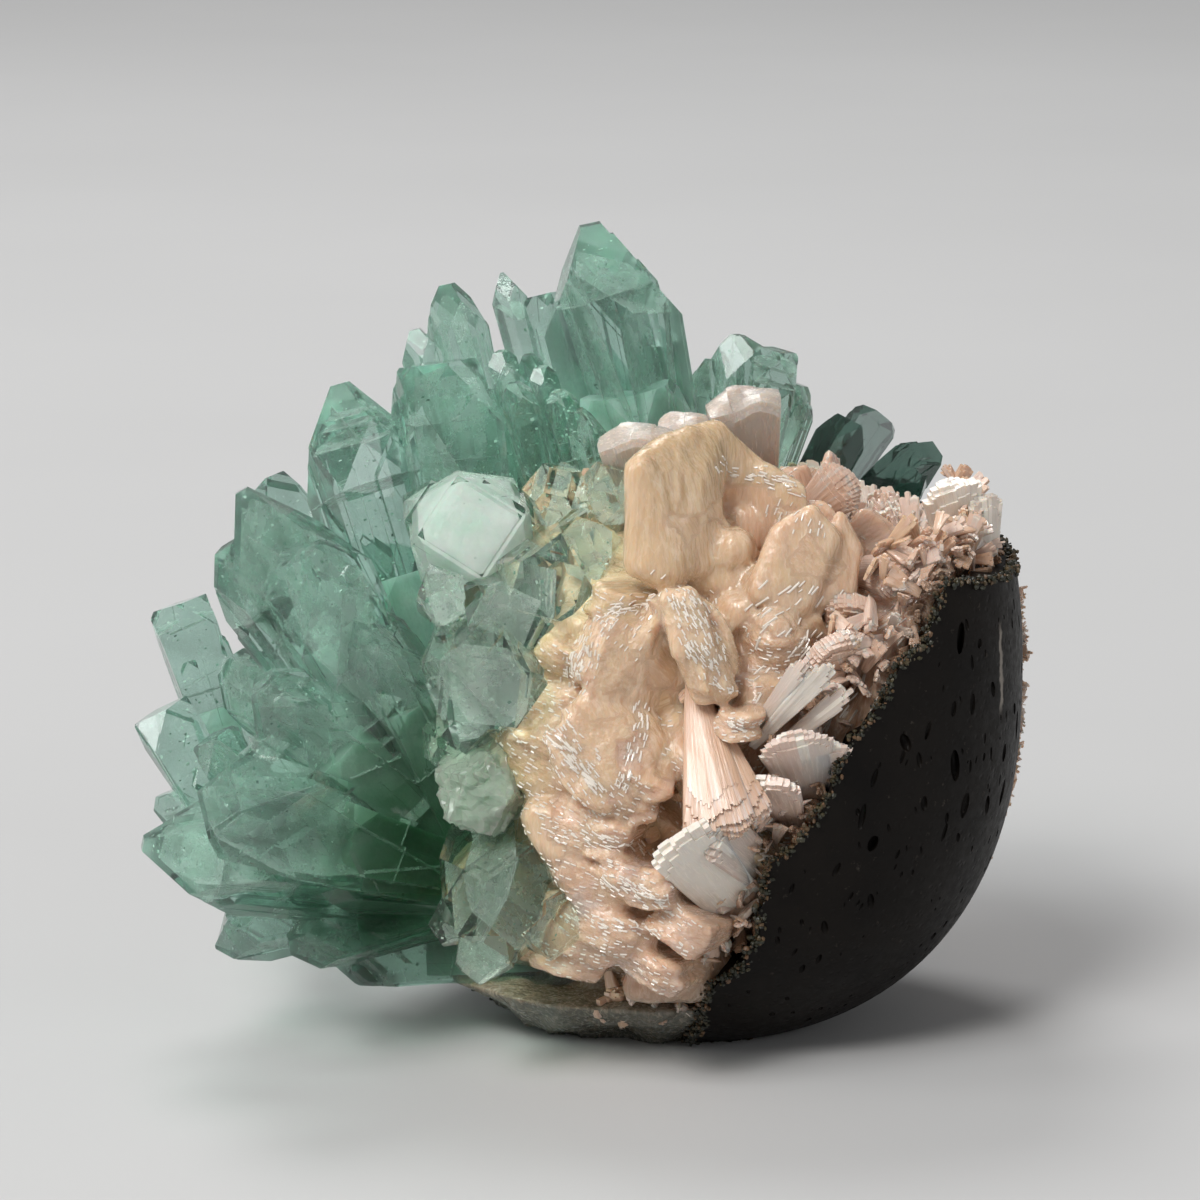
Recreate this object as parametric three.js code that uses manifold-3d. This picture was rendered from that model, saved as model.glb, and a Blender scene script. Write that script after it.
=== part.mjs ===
// Apophyllite cluster: green and clear apophyllite crystals with peach stilbite sheaves, on a
// ground piece of vesicular basalt. Millimetres, +Z up, the broad side of the cluster faces -Y.
// The specimen stands on a flat ground on the basalt. Places are given in working coordinates,
// and the last section moves the whole so that its origin is the bottom centre of its box.

import * as THREE from 'three';
import { ConvexGeometry } from 'three/addons/geometries/ConvexGeometry.js';
import { mergeVertices } from 'three/addons/utils/BufferGeometryUtils.js';
import Module from 'manifold-3d';

const wasm = await Module();
wasm.setup();

// ---- Driving dimensions --------------------------------------------------------------------

const GAP = 0.3;                       // clearance between neighbouring solids
const PYRAMID_ANGLE = 60.4;            // between an apophyllite pyramid face and the base plane
const PRISM_JITTER = 0.08;             // uneven growth of the faces, as a part of the half width
const TAPER = 0.25;                    // how much narrower a crystal is at its root
const FAN_TAPER = 0.5;                 // the same in the fan, whose crystals share one root
const SHOULDER_DEPTH = 1.6;            // half widths from the tip down to the prism's full width
const LOWEST_SHOULDER = 0.6;           // and that full width starts no lower on a stubby crystal
const LEDGE_REACH = 1.14;              // half widths out to the face of a parallel step crystal

const BLADE_END_ANGLE = 38;            // slope of a stilbite blade's pointed end
const BLADE_ROOT = 0.3;                // half a blade's root, as a part of its width
const BLADE_FLARE = 0.2;               // half of what it widens by toward its end, likewise
const SHEAF_ROOT = 0.3;                // half a sheaf's root, as a part of its width
const SHEAF_END = 0.9;                 // width of its end before the blades spread, likewise
const SHEAF_SPREAD = 0.6;              // how far the spreading blades carry it sideways
const SHEAF_TOOTH = 0.55;              // depth of a blade's point, as a part of its share
const SHEAF_ROUNDING = 0.12;           // how far the outer blades fall short, of the length
const ROW_BLADE_WIDTH = 4;
const ROW_BLADE_THICKNESS = 1.3;

// The ground outline of the whole specimen: a superellipsoid with a flat at z = 0.
const GROUND_CENTRE = [8, 3, 40];
const GROUND_RADII = [39.5, 33, 42];
const GROUND_POWER = 2.4;
const GROUND_STEPS_AROUND = 20;
const GROUND_STEPS_UP = 12;

// The cavity wall that the crystals grew on, as the two planes that bound the basalt.
const RIM_POINT = [25.9, -23.2, 33.3];
const RIM_NORMAL = [-0.837, 0.233, 0.495];
const BACK_WALL_POINT = [0, 12, 30];
const BACK_WALL_NORMAL = [-0.25, -0.87, 0.42];

// Top of the matrix: level, then falling toward the right.
const BASALT_TOP = 59;
const BASALT_TOP_SLOPE = 0.2;
const BASALT_TOP_START = 16;

// The underside left of the flat was ground at a slant through stilbite and apophyllite.
const SLANT_START = [-6, 0, 0];
const SLANT_NORMAL = [0.26, 0, 1];

const FAR = 150;                       // past every part of the specimen
const SAME_PLACE = 1e-5;               // corners closer than this are one corner

const BASALT_COLOUR = 0x1b1714;
const STILBITE_COLOUR = 0xdcb393;
const CRUST_COLOUR = 0xd6b9ab;
const GREEN_COLOUR = 0x6fa88a;
const CLEAR_COLOUR = 0xaccab8;
const MILKY_COLOUR = 0xb4c4ae;

// ---- Vectors and planes --------------------------------------------------------------------

const radians = (degrees) => degrees * Math.PI / 180;
const vector = ([x, y, z]) => new THREE.Vector3(x, y, z);

// A repeatable stream of numbers from 0 to 1.
function randomStream(seed) {
  let state = (seed * 2654435761 + 12345) % 4294967296;
  return () => {
    state = (state * 1664525 + 1013904223) % 4294967296;
    return state / 4294967296;
  };
}

// A half-space: material lies where normal . p <= distance.
function plane(normal, point) {
  const unit = normal.clone().normalize();
  return { normal: unit, distance: unit.dot(point) };
}

// Corner of three planes, or null where they do not meet in one point.
function corner(a, b, c) {
  const across = new THREE.Vector3().crossVectors(b.normal, c.normal);
  const volume = a.normal.dot(across);
  if (Math.abs(volume) < 1e-7) {
    return null;
  }
  const sum = across.multiplyScalar(a.distance);
  sum.add(new THREE.Vector3().crossVectors(c.normal, a.normal).multiplyScalar(b.distance));
  sum.add(new THREE.Vector3().crossVectors(a.normal, b.normal).multiplyScalar(c.distance));
  return sum.divideScalar(volume);
}

// ---- Solids --------------------------------------------------------------------------------

// A three.js geometry as a solid that can be joined and cut.
function toSolid(geometry) {
  const bare = geometry.clone();
  bare.deleteAttribute('normal');
  bare.deleteAttribute('uv');
  const merged = mergeVertices(bare, SAME_PLACE);
  const mesh = new wasm.Mesh({
    numProp: 3,
    vertProperties: new Float32Array(merged.attributes.position.array),
    triVerts: new Uint32Array(merged.index.array),
  });
  return new wasm.Manifold(mesh);
}

// The largest shell of a solid, as a three.js geometry: the chips and the sealed hollows that
// the cuts leave are dropped. Triangles belong to one shell where they share an edge.
function toGeometry(solid) {
  const { vertProperties, triVerts } = solid.getMesh();
  const parent = Array.from({ length: triVerts.length / 3 }, (_, index) => index);
  const shellOf = (triangle) => {
    let top = triangle;
    while (parent[top] !== top) {
      top = parent[top];
    }
    parent[triangle] = top;
    return top;
  };
  const edges = new Map();
  triVerts.forEach((from, at) => {
    const triangle = Math.floor(at / 3);
    const to = triVerts[at % 3 === 2 ? at - 2 : at + 1];
    const twin = edges.get(`${to}-${from}`);
    edges.set(`${from}-${to}`, triangle);
    if (twin !== undefined) {
      parent[shellOf(twin)] = shellOf(triangle);
    }
  });
  const shells = new Map();
  parent.forEach((_, triangle) => {
    const top = shellOf(triangle);
    const corners = triVerts.slice(3 * triangle, 3 * triangle + 3);
    shells.set(top, [...(shells.get(top) ?? []), ...corners]);
  });
  const largest = [...shells.values()].reduce((a, b) => (b.length > a.length ? b : a));
  const geometry = new THREE.BufferGeometry();
  geometry.setAttribute('position', new THREE.BufferAttribute(vertProperties, 3));
  geometry.setIndex(largest);
  const merged = mergeVertices(geometry.toNonIndexed(), SAME_PLACE);
  merged.computeVertexNormals();
  return merged;
}

// The convex body that a list of planes bounds, each plane moved out by `grow`.
function convexSolid(planes, grow = 0) {
  const grown = planes.map(({ normal, distance }) => ({ normal, distance: distance + grow }));
  const corners = [];
  for (let i = 0; i < grown.length; i += 1) {
    for (let j = i + 1; j < grown.length; j += 1) {
      for (let k = j + 1; k < grown.length; k += 1) {
        const point = corner(grown[i], grown[j], grown[k]);
        if (point && grown.every((side) => side.normal.dot(point) <= side.distance + 1e-6)
            && corners.every((other) => other.distanceTo(point) > 1e-3)) {
          corners.push(point);
        }
      }
    }
  }
  return toSolid(new ConvexGeometry(corners));
}

function joined(solids) {
  return solids.reduce((sum, solid) => sum.add(solid));
}

// A block that reaches far past the specimen on the material side of each plane.
function region(planes, grow = 0) {
  const walls = [[1, 0, 0], [-1, 0, 0], [0, 1, 0], [0, -1, 0], [0, 0, 1], [0, 0, -1]];
  const limits = walls.map((wall) => plane(vector(wall), vector(wall).multiplyScalar(FAR)));
  return convexSolid([...planes, ...limits], grow);
}

// ---- The ground outline --------------------------------------------------------------------

// A superellipsoid about GROUND_CENTRE, its radii changed by `change`.
function groundBody(change) {
  const radii = GROUND_RADII.map((radius, axis) => radius + change[axis]);
  const signedPower = (value) => Math.sign(value) * Math.abs(value) ** (2 / GROUND_POWER);
  const points = [];
  for (let up = 0; up <= GROUND_STEPS_UP; up += 1) {
    const tilt = radians(-90 + 180 * up / GROUND_STEPS_UP);
    const around = up === 0 || up === GROUND_STEPS_UP ? 1 : GROUND_STEPS_AROUND;
    for (let step = 0; step < around; step += 1) {
      const turn = radians(360 * step / around);
      const shape = [
        signedPower(Math.cos(tilt)) * signedPower(Math.cos(turn)),
        signedPower(Math.cos(tilt)) * signedPower(Math.sin(turn)),
        signedPower(Math.sin(tilt)),
      ];
      points.push(vector(shape.map((value, axis) => GROUND_CENTRE[axis] + radii[axis] * value)));
    }
  }
  return toSolid(new ConvexGeometry(points));
}

const UP = new THREE.Vector3(0, 0, 1);
const floorPlane = plane(vector([0, 0, -1]), vector([0, 0, 0]));
const slantPlane = plane(vector(SLANT_NORMAL).negate(), vector(SLANT_START));
const cavityPlanes = [
  plane(vector(RIM_NORMAL).negate(), vector(RIM_POINT)),
  plane(vector(BACK_WALL_NORMAL).negate(), vector(BACK_WALL_POINT)),
];
const basaltTopPlanes = [
  plane(UP, vector([0, 0, BASALT_TOP])),
  plane(vector([BASALT_TOP_SLOPE, 0, 1]), vector([BASALT_TOP_START, 0, BASALT_TOP])),
];

// ---- Apophyllite ---------------------------------------------------------------------------

// Planes of one tetragonal crystal: a square prism, four pyramid faces set at 45 degrees to it
// and a small flat tip. `spin` turns the prism about its length, from facing the front, and
// `taper` is the part of its width that it lacks at its root.
function crystalPlanes({ root, tip, half, flat = 0.3, spin = 45, taper = TAPER }, seed) {
  const random = randomStream(seed);
  const start = vector(root);
  const length = vector(tip).sub(start).length();
  const along = vector(tip).sub(start).normalize();
  const front = new THREE.Vector3(0, -1, 0).addScaledVector(along, along.y).normalize();
  front.applyAxisAngle(along, radians(spin));
  const shoulderHeight = Math.max(length - SHOULDER_DEPTH * half, LOWEST_SHOULDER * length);
  const planes = [];
  const add = (normal, distance) => {
    planes.push({ normal, distance: distance + normal.dot(start) });
  };
  for (let quarter = 0; quarter < 4; quarter += 1) {
    const prism = front.clone().applyAxisAngle(along, quarter * Math.PI / 2);
    const shoulder = half * (1 + PRISM_JITTER * (2 * random() - 1));
    const lean = prism.clone().addScaledVector(along, -taper * shoulder / shoulderHeight).normalize();
    add(lean, shoulder * (1 - taper) * lean.dot(prism));
    const outward = front.clone().applyAxisAngle(along, (quarter + 0.5) * Math.PI / 2);
    const sine = Math.sin(radians(PYRAMID_ANGLE));
    const cosine = Math.cos(radians(PYRAMID_ANGLE));
    const face = outward.multiplyScalar(sine).addScaledVector(along, cosine);
    const unevenness = 2 * PRISM_JITTER * half * (random() - 0.5);
    add(face, cosine * length + sine * (flat * half + unevenness));
  }
  add(along.clone(), length);
  add(along.clone().negate(), 0);
  return { planes, along, front };
}

// One crystal and the smaller ones that grew parallel to it. Each step is the direction it
// sticks out to, in degrees about the length, how far its tip lies behind, and its size.
function crystal(spec, seed, grow = 0) {
  const main = crystalPlanes(spec, seed);
  const solids = [convexSolid(main.planes, grow)];
  (spec.steps ?? []).forEach(([turn, drop, scale], index) => {
    const outward = main.front.clone().applyAxisAngle(main.along, radians(turn));
    const shift = outward.multiplyScalar(spec.half * (LEDGE_REACH - scale));
    const step = {
      ...spec,
      root: vector(spec.root).add(shift).toArray(),
      tip: vector(spec.tip).add(shift).addScaledVector(main.along, -drop).toArray(),
      half: spec.half * scale,
    };
    solids.push(convexSolid(crystalPlanes(step, seed * 17 + index).planes, grow));
  });
  return joined(solids);
}

function crystalGroup(specs, seed, grow = 0) {
  return joined(specs.map((spec, index) => crystal(spec, seed * 100 + index, grow)));
}

function greenSpray(grow) {
  const fan = FAN_CRYSTALS.map((spec) => ({ ...spec, taper: FAN_TAPER }));
  return crystalGroup([...fan, ...TOP_CRYSTALS], 1, grow);
}

// The fan spreads from its root low at the front; the top group stands on the back wall.
const FAN_ROOT = [-14.5, -10, 19];
const FAN_CRYSTALS = [
  // the fan, from the top down
  { root: [-14, -5, 20], tip: [-29.3, 4, 72.3], half: 5.2, flat: 0.16, spin: 32,
    steps: [[228, 5, 0.62], [245, 10, 0.6], [210, 14, 0.55], [60, 12, 0.5]] },
  { root: FAN_ROOT, tip: [-39.3, -8, 62.6], half: 6.3, flat: 0.08, spin: 45,
    steps: [[225, 8, 0.55], [90, 5, 0.5]] },
  { root: [-16, -9, 19], tip: [-41.2, -9, 56.5], half: 3.8, flat: 0.3, spin: 30 },
  { root: FAN_ROOT, tip: [-33, -17, 57.2], half: 4.9, flat: 0.5, spin: 20,
    steps: [[20, 9, 0.6], [110, 6, 0.6]] },
  { root: FAN_ROOT, tip: [-25.5, -17, 50], half: 4, flat: 0.4, spin: 30,
    steps: [[0, 6, 0.6]] },
  { root: FAN_ROOT, tip: [-36.5, -20, 44], half: 4.6, flat: 0.3, spin: 25,
    steps: [[40, 5, 0.6]] },
  { root: FAN_ROOT, tip: [-39, -18, 37], half: 4.6, flat: 0.3, spin: 55 },
  { root: [-15, -9, 20], tip: [-40.5, -31, 33], half: 5.3, flat: 0.55, spin: 15,
    steps: [[-60, 4, 0.6], [90, 5, 0.5]] },
  { root: [-14, -10, 18], tip: [-50.3, -17, 24.6], half: 5.3, flat: 0.12, spin: 40,
    steps: [[0, 7, 0.6], [60, 10, 0.55]] },
  { root: [-14, -8, 17], tip: [-43.3, -7, 11.5], half: 3.2, flat: 0.35, spin: 35 },
  { root: [-14, -10, 16], tip: [-34.5, -14, 12.3], half: 3, flat: 0.3, spin: 30 },
  { root: [0, -6, 9.5], tip: [-30, -5, 10.5], half: 4.5, flat: 0.4, spin: 10 },
  // the left edge behind the fan: blunt crystals that point up
  { root: [-38, 5, 17], tip: [-48, 9, 46.2], half: 3.3, flat: 0.7, spin: 14,
    steps: [[90, 5, 0.7]] },
  { root: [-38, 0, 14], tip: [-49.6, 2, 35.4], half: 3.2, flat: 0.8, spin: 20,
    steps: [[60, 5, 0.6]] },
  { root: [-34, -6, 18], tip: [-43.2, -6, 34.2], half: 2.5, flat: 0.7, spin: 5 },
  { root: [-15, -6, 19], tip: [-50.2, 3, 24.5], half: 2.8, flat: 0.3, spin: 45 },
  { root: [-14, -5, 20], tip: [-42, 6, 40], half: 4.2, flat: 0.4, spin: 25 },
  // behind
  { root: [-13, -3, 21], tip: [-37, 22, 33], half: 3.8, flat: 0.4, spin: 50 },
];

const TOP_CRYSTALS = [
  // the blocky crystal and the slender columns beside it
  { root: [-12, -3, 24], tip: [-18.4, 3, 74.9], half: 4.7, flat: 0.65, spin: 18,
    steps: [[-60, 4, 0.55], [20, 7, 0.6]] },
  { root: [-2, 6, 38], tip: [-11.2, 3, 76.2], half: 1.7, flat: 0.3, spin: 10 },
  { root: [0, 7, 38], tip: [-8.2, 4.5, 75.6], half: 1.6, flat: 0.3, spin: 30 },
  { root: [2, 5, 38], tip: [-6.6, 1, 74.8], half: 1.6, flat: 0.3, spin: 5 },
  { root: [0, 4, 38], tip: [-9.6, -0.5, 73.3], half: 1.7, flat: 0.3, spin: 20 },
  { root: [4, 4, 38], tip: [-4.8, -1, 72.4], half: 1.9, flat: 0.3, spin: 15 },
  { root: [6, 3, 38], tip: [-2.6, -2, 70.4], half: 2.1, flat: 0.3, spin: 40 },
  { root: [-9, 2, 26], tip: [-11.5, 9, 71], half: 4.2, flat: 0.8, spin: 20 },
  // the tallest crystal
  { root: [11, 8, 33], tip: [-0.8, 8, 89.8], half: 5.5, flat: 0.2, spin: 50,
    steps: [[225, 11, 0.5], [20, 17, 0.45]] },
  // the row behind
  { root: [-7, 12, 34], tip: [-17.4, 18, 81.5], half: 2.7, flat: 0.3, spin: 30,
    steps: [[-60, 4, 0.6]] },
  { root: [-9, 12, 34], tip: [-21, 16, 76.6], half: 1.9, flat: 0.3, spin: 45 },
  { root: [0, 17, 40], tip: [-11.4, 26, 81.6], half: 1.6, flat: 0.1, spin: 45 },
  { root: [2, 16, 40], tip: [-6.2, 24, 79.4], half: 2.6, flat: 0.6, spin: 15 },
  { root: [-10, 4, 27], tip: [-38.4, 18, 58.2], half: 2.7, flat: 0.7, spin: 20 },
  // the far side
  { root: [-9, 6, 28], tip: [-30, 29, 50], half: 4.2, flat: 0.3, spin: 30 },
  { root: [-8, 8, 28], tip: [-20, 30, 65], half: 4.4, flat: 0.3, spin: 15 },
  { root: [6, 12, 40], tip: [3, 27, 75], half: 3.6, flat: 0.4, spin: 35 },
];

const CLEAR_CRYSTALS = [
  { root: [-14, -2, 54], tip: [-14, -18.5, 60.5], half: 5.6, flat: 0.75, spin: 12,
    steps: [[-80, 1.5, 0.6], [100, 2, 0.55]] },
  { root: [-5, 0, 56], tip: [-4.6, -14.5, 64.6], half: 2.9, flat: 0.5, spin: 35 },
  { root: [2, 0, 56], tip: [1, -13.5, 64.8], half: 2.9, flat: 0.5, spin: 20 },
  { root: [0, -3, 54], tip: [-1.6, -18.5, 58.4], half: 2.7, flat: 0.4, spin: 45 },
  { root: [-6, -6, 56], tip: [-5.6, -25, 55], half: 3.7, flat: 0.9, spin: 8 },
  { root: [-9, -6, 54], tip: [-9.6, -24, 50.8], half: 4.2, flat: 0.7, spin: 30 },
  { root: [-15, -6, 54], tip: [-17, -21.5, 52.5], half: 2.8, flat: 0.5, spin: 40 },
  { root: [-12, -6, 49], tip: [-12.6, -28.5, 44], half: 4.9, flat: 0.7, spin: 45,
    steps: [[160, 2, 0.5]] },
  { root: [-14, -8, 44], tip: [-14.8, -25, 39], half: 2.8, flat: 0.6, spin: 15 },
  { root: [-15.5, -8, 41], tip: [-17.2, -21.5, 35.4], half: 2.1, flat: 0.5, spin: 35 },
];

const MILKY_CRYSTALS = [
  { root: [-12.5, -9, 35.5], tip: [-13, -27.5, 31.2], half: 3.7, flat: 0.6, spin: 28,
    steps: [[150, 2, 0.6]] },
];

const DARK_CLEAR_CRYSTALS = [
  { root: [-9, -8, 26], tip: [-10.8, -30.5, 18.8], half: 4.9, flat: 0.7, spin: 30,
    steps: [[-30, 2.5, 0.6]] },
  { root: [-5, -10, 22], tip: [-5.5, -31, 18.2], half: 3.2, flat: 0.6, spin: 10 },
  { root: [-9, -12, 20], tip: [-13.2, -30.5, 14.2], half: 2.5, flat: 0.5, spin: 40 },
  { root: [-11, -12, 21], tip: [-17, -28, 17.4], half: 2, flat: 0.4, spin: 45 },
];

const UPPER_RIGHT_CRYSTALS = [
  { root: [12, 14, 50], tip: [16.6, 16, 75.8], half: 2.9, flat: 0.5, spin: 25,
    steps: [[60, 3, 0.6], [-60, 5, 0.6]] },
  { root: [15, 13, 50], tip: [20.2, 13.5, 74.6], half: 2.6, flat: 0.6, spin: 10,
    steps: [[-90, 5, 0.6]] },
  { root: [11, 15, 50], tip: [13.4, 18, 72.8], half: 2.8, flat: 0.5, spin: 40 },
  { root: [15, 16, 48], tip: [22.5, 18, 70], half: 2.4, flat: 0.5, spin: 20 },
];

const BACK_RIGHT_CRYSTALS = [
  { root: [22, 19, 49], tip: [39, 28, 60.6], half: 2.4, flat: 0.4, spin: 45,
    steps: [[0, 3, 0.6]] },
  { root: [22, 20, 50], tip: [32, 29, 64], half: 2.5, flat: 1, spin: 10 },
  { root: [20, 19, 49], tip: [29, 24, 64.5], half: 2.2, flat: 0.7, spin: 30 },
  { root: [24, 19, 48], tip: [37, 23, 58.4], half: 1.9, flat: 0.6, spin: 20 },
];

// ---- Stilbite ------------------------------------------------------------------------------

// Planes of one blade: a thin plate from `start` along `along`, `wide` across the plate's
// width, with a pointed end. It is narrower at its start.
function bladePlanes(start, along, face, length, wide, thick) {
  const side = new THREE.Vector3().crossVectors(along, face).normalize();
  const flatFace = new THREE.Vector3().crossVectors(side, along).normalize();
  const planes = [];
  const add = (normal, point) => planes.push(plane(normal, point));
  const end = start.clone().addScaledVector(along, length);
  const endSlope = Math.sin(radians(BLADE_END_ANGLE));
  for (const way of [1, -1]) {
    const narrow = start.clone().addScaledVector(side, way * BLADE_ROOT * wide);
    const broad = side.clone().multiplyScalar(way);
    add(broad.addScaledVector(along, -BLADE_FLARE * wide / length), narrow);
    add(flatFace.clone().multiplyScalar(way), start.clone().addScaledVector(flatFace, way * thick / 2));
    add(along.clone().addScaledVector(side, way * endSlope), end);
  }
  add(along.clone().negate(), start);
  return planes;
}

// A sheaf: a plate of blades that spread from one root in their own plane and end in a row of
// points. `spread` is the whole opening angle in degrees.
function sheaf({ root, tip, face, width, spread, thick, points = 3 }) {
  const start = vector(root);
  const along = vector(tip).sub(start);
  const length = along.length();
  along.normalize();
  const across = vector(face).addScaledVector(along, -along.dot(vector(face))).normalize();
  const side = new THREE.Vector3().crossVectors(along, across);
  const tooth = SHEAF_TOOTH * width / points;
  const outline = new THREE.Shape();
  outline.moveTo(SHEAF_ROOT * width, 0);
  for (let step = 0; step <= 2 * points; step += 1) {
    const part = 0.5 - step / (2 * points);
    const angle = radians(spread * part);
    const notch = step % 2 === 0 ? tooth : 0;
    const reach = length - notch - SHEAF_ROUNDING * length * (2 * part) ** 2;
    const sideways = SHEAF_END * width * part + SHEAF_SPREAD * reach * Math.sin(angle);
    outline.lineTo(sideways, reach * Math.cos(angle));
  }
  outline.lineTo(-SHEAF_ROOT * width, 0);
  outline.closePath();
  const plate = new THREE.ExtrudeGeometry(outline, { depth: thick, bevelEnabled: false });
  plate.translate(0, 0, -thick / 2);
  plate.applyMatrix4(new THREE.Matrix4().makeBasis(side, along, across));
  plate.translate(...start.toArray());
  return toSolid(plate);
}

const SHEAVES = [
  // the cup at the top, open toward the front
  { root: [8, -10, 54], tip: [5.5, -16, 67], face: [-0.5, -1, 0.2], width: 10, spread: 34, thick: 7 },
  { root: [11, -5, 54], tip: [13, -11, 70], face: [0.1, -1, 0.3], width: 12, spread: 50, thick: 5 },
  { root: [15, -9, 54], tip: [20.5, -19, 64.5], face: [0.7, -0.8, 0.3], width: 9, spread: 40, thick: 5 },
  { root: [14, -2, 58], tip: [16.5, -6, 73.5], face: [0, -1, 0.2], width: 8, spread: 12, thick: 4,
    points: 2 },
  { root: [5, 0, 58], tip: [1.5, -9, 69], face: [-0.4, -1, 0.4], width: 8, spread: 34, thick: 4 },
  // right of the cup
  { root: [17, -12, 52], tip: [26.5, -22, 60], face: [0, -0.8, 0.6], width: 9, spread: 46, thick: 5 },
  // the central sheaves
  { root: [10, -16, 50], tip: [-2.5, -28, 49], face: [-0.2, -0.7, 0.7], width: 11, spread: 44, thick: 6 },
  { root: [12, -16, 46], tip: [8.5, -31, 53], face: [0, -0.4, 1], width: 10, spread: 44, thick: 6 },
  { root: [8, -18, 45], tip: [-3.5, -30, 39.5], face: [-0.4, -0.8, 0.5], width: 11, spread: 40, thick: 6 },
  { root: [9, -20, 43], tip: [5, -33, 41], face: [-1, 0, 0.3], width: 11, spread: 30, thick: 3.6 },
  // the column that spreads downward
  { root: [11, -20, 44], tip: [13.5, -30.5, 28], face: [0, -1, 0.4], width: 9, spread: 36, thick: 5 },
  // plates below
  { root: [2, -16, 34], tip: [-5.5, -28, 30], face: [0, -0.4, 1], width: 11, spread: 44, thick: 4 },
  { root: [14, -18, 32], tip: [7.5, -32, 25.5], face: [-0.5, -0.6, 0.7], width: 9, spread: 34, thick: 3.6 },
  { root: [6, -16, 24], tip: [-3, -29.5, 22], face: [0, -0.1, 1], width: 12, spread: 44, thick: 4 },
  { root: [4, -10, 16], tip: [-4, -26, 11.5], face: [0, 0.3, 1], width: 12, spread: 44, thick: 4 },
  // honey-coloured sheaf beside the clear crystals
  { root: [0, -14, 40], tip: [-9.5, -24.5, 36.5], face: [-0.3, -0.7, 0.6], width: 10, spread: 44,
    thick: 5 },
  // pale blades toward the rim
  { root: [19, -17, 42], tip: [24.5, -28.5, 46], face: [-0.3, -0.6, 0.7], width: 9, spread: 44, thick: 3 },
];

// Small blades over the upper right and along the rim: rows of places along two edges.
const BLADE_ROWS = [
  { from: [25, -17, 55], to: [41, -4, 54], out: [0, -0.6, 0.8], count: 6, length: 8 },
  { from: [22, -6, 58], to: [41, 3, 55], out: [0, -0.15, 1], count: 6, length: 7 },
  { from: [22, 5, 58], to: [39, 12, 54], out: [0.1, 0.3, 1], count: 4, length: 7 },
  { from: [29, -15, 50], to: [25, -20, 32], out: [-0.1, -1, 0.3], count: 4, length: 8 },
  { from: [21, -18, 28], to: [12, -13, 10], out: [-0.25, -1, 0], count: 4, length: 10 },
];

function bladeRow({ from, to, out, count, length }, seed) {
  const random = randomStream(seed);
  const spot = () => 2 * random() - 1;
  const solids = [];
  for (let step = 0; step < count; step += 1) {
    const start = vector(from).lerp(vector(to), (step + 0.3 * spot()) / (count - 1));
    start.add(vector([spot(), spot(), spot()]));
    const along = vector(out).add(vector([0.45 * spot(), 0.3 * spot(), 0.3 * spot()])).normalize();
    const face = vector([spot(), spot(), spot()]);
    const across = face.addScaledVector(along, -along.dot(face)).normalize();
    const reach = length * (0.8 + 0.4 * random());
    const planes = bladePlanes(start, along, across, reach, ROW_BLADE_WIDTH, ROW_BLADE_THICKNESS);
    solids.push(convexSolid(planes));
  }
  return joined(solids);
}

// The stilbite behind the sheaves, between the ground outline and the cavity wall: in front of
// the tall crystals, right of them, and low on the left, where the underside cuts through it.
const FILL_INSET = [-3, -4, 0];
const FILL_SLOPES = [
  plane(vector([0.1, -0.45, 1]), vector([10, -10, 58])),
  plane(vector([0.15, 0, 1]), vector([20, 0, 60.5])),
];
const FILL_PARTS = [
  [plane(vector([0, 1, 0]), vector([0, -1.5, 0])), plane(vector([-1, 0, 0.2]), vector([-9, 0, 30]))],
  [plane(vector([-1, 0, 0]), vector([18, 0, 0]))],
  [plane(vector([0, 0, 1]), vector([0, 0, 13])), plane(vector([-1, 0, 0]), vector([-22, 0, 0]))],
];

function stilbite() {
  const parts = FILL_PARTS.map((planes) => region([...cavityPlanes, ...FILL_SLOPES, ...planes]));
  const fill = groundBody(FILL_INSET).intersect(joined(parts));
  const rows = BLADE_ROWS.map((row, index) => bladeRow(row, 400 + index));
  return joined([fill, ...SHEAVES.map(sheaf), ...rows]);
}

// ---- Basalt --------------------------------------------------------------------------------

// Vesicles that show as open pits in the ground face: place, half length and turn in degrees.
const VESICLES = [
  { place: [38.9, -19.4, 48], length: 2.3, turn: 8 },
  { place: [38.6, -20.5, 34.5], length: 2, turn: -6 },
  { place: [40, -19, 29.5], length: 1.7, turn: 10 },
  { place: [33, -25, 38], length: 1.2, turn: -25 },
  { place: [29.5, -25.4, 27], length: 1, turn: 20 },
  { place: [22, -26, 15.5], length: 1.3, turn: -40 },
];

function vesicle({ place, length, turn }) {
  const pit = new THREE.SphereGeometry(1, 6, 4);
  pit.scale(0.6, 1.1, length);
  pit.rotateY(radians(turn));
  pit.translate(...place);
  return toSolid(pit);
}

function basalt(grow) {
  const body = groundBody([grow, grow, grow]);
  const cavity = region(cavityPlanes, -grow);
  return body.subtract(cavity).intersect(region([floorPlane, ...basaltTopPlanes], grow));
}

// ---- The crust behind the basalt -----------------------------------------------------------

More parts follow.
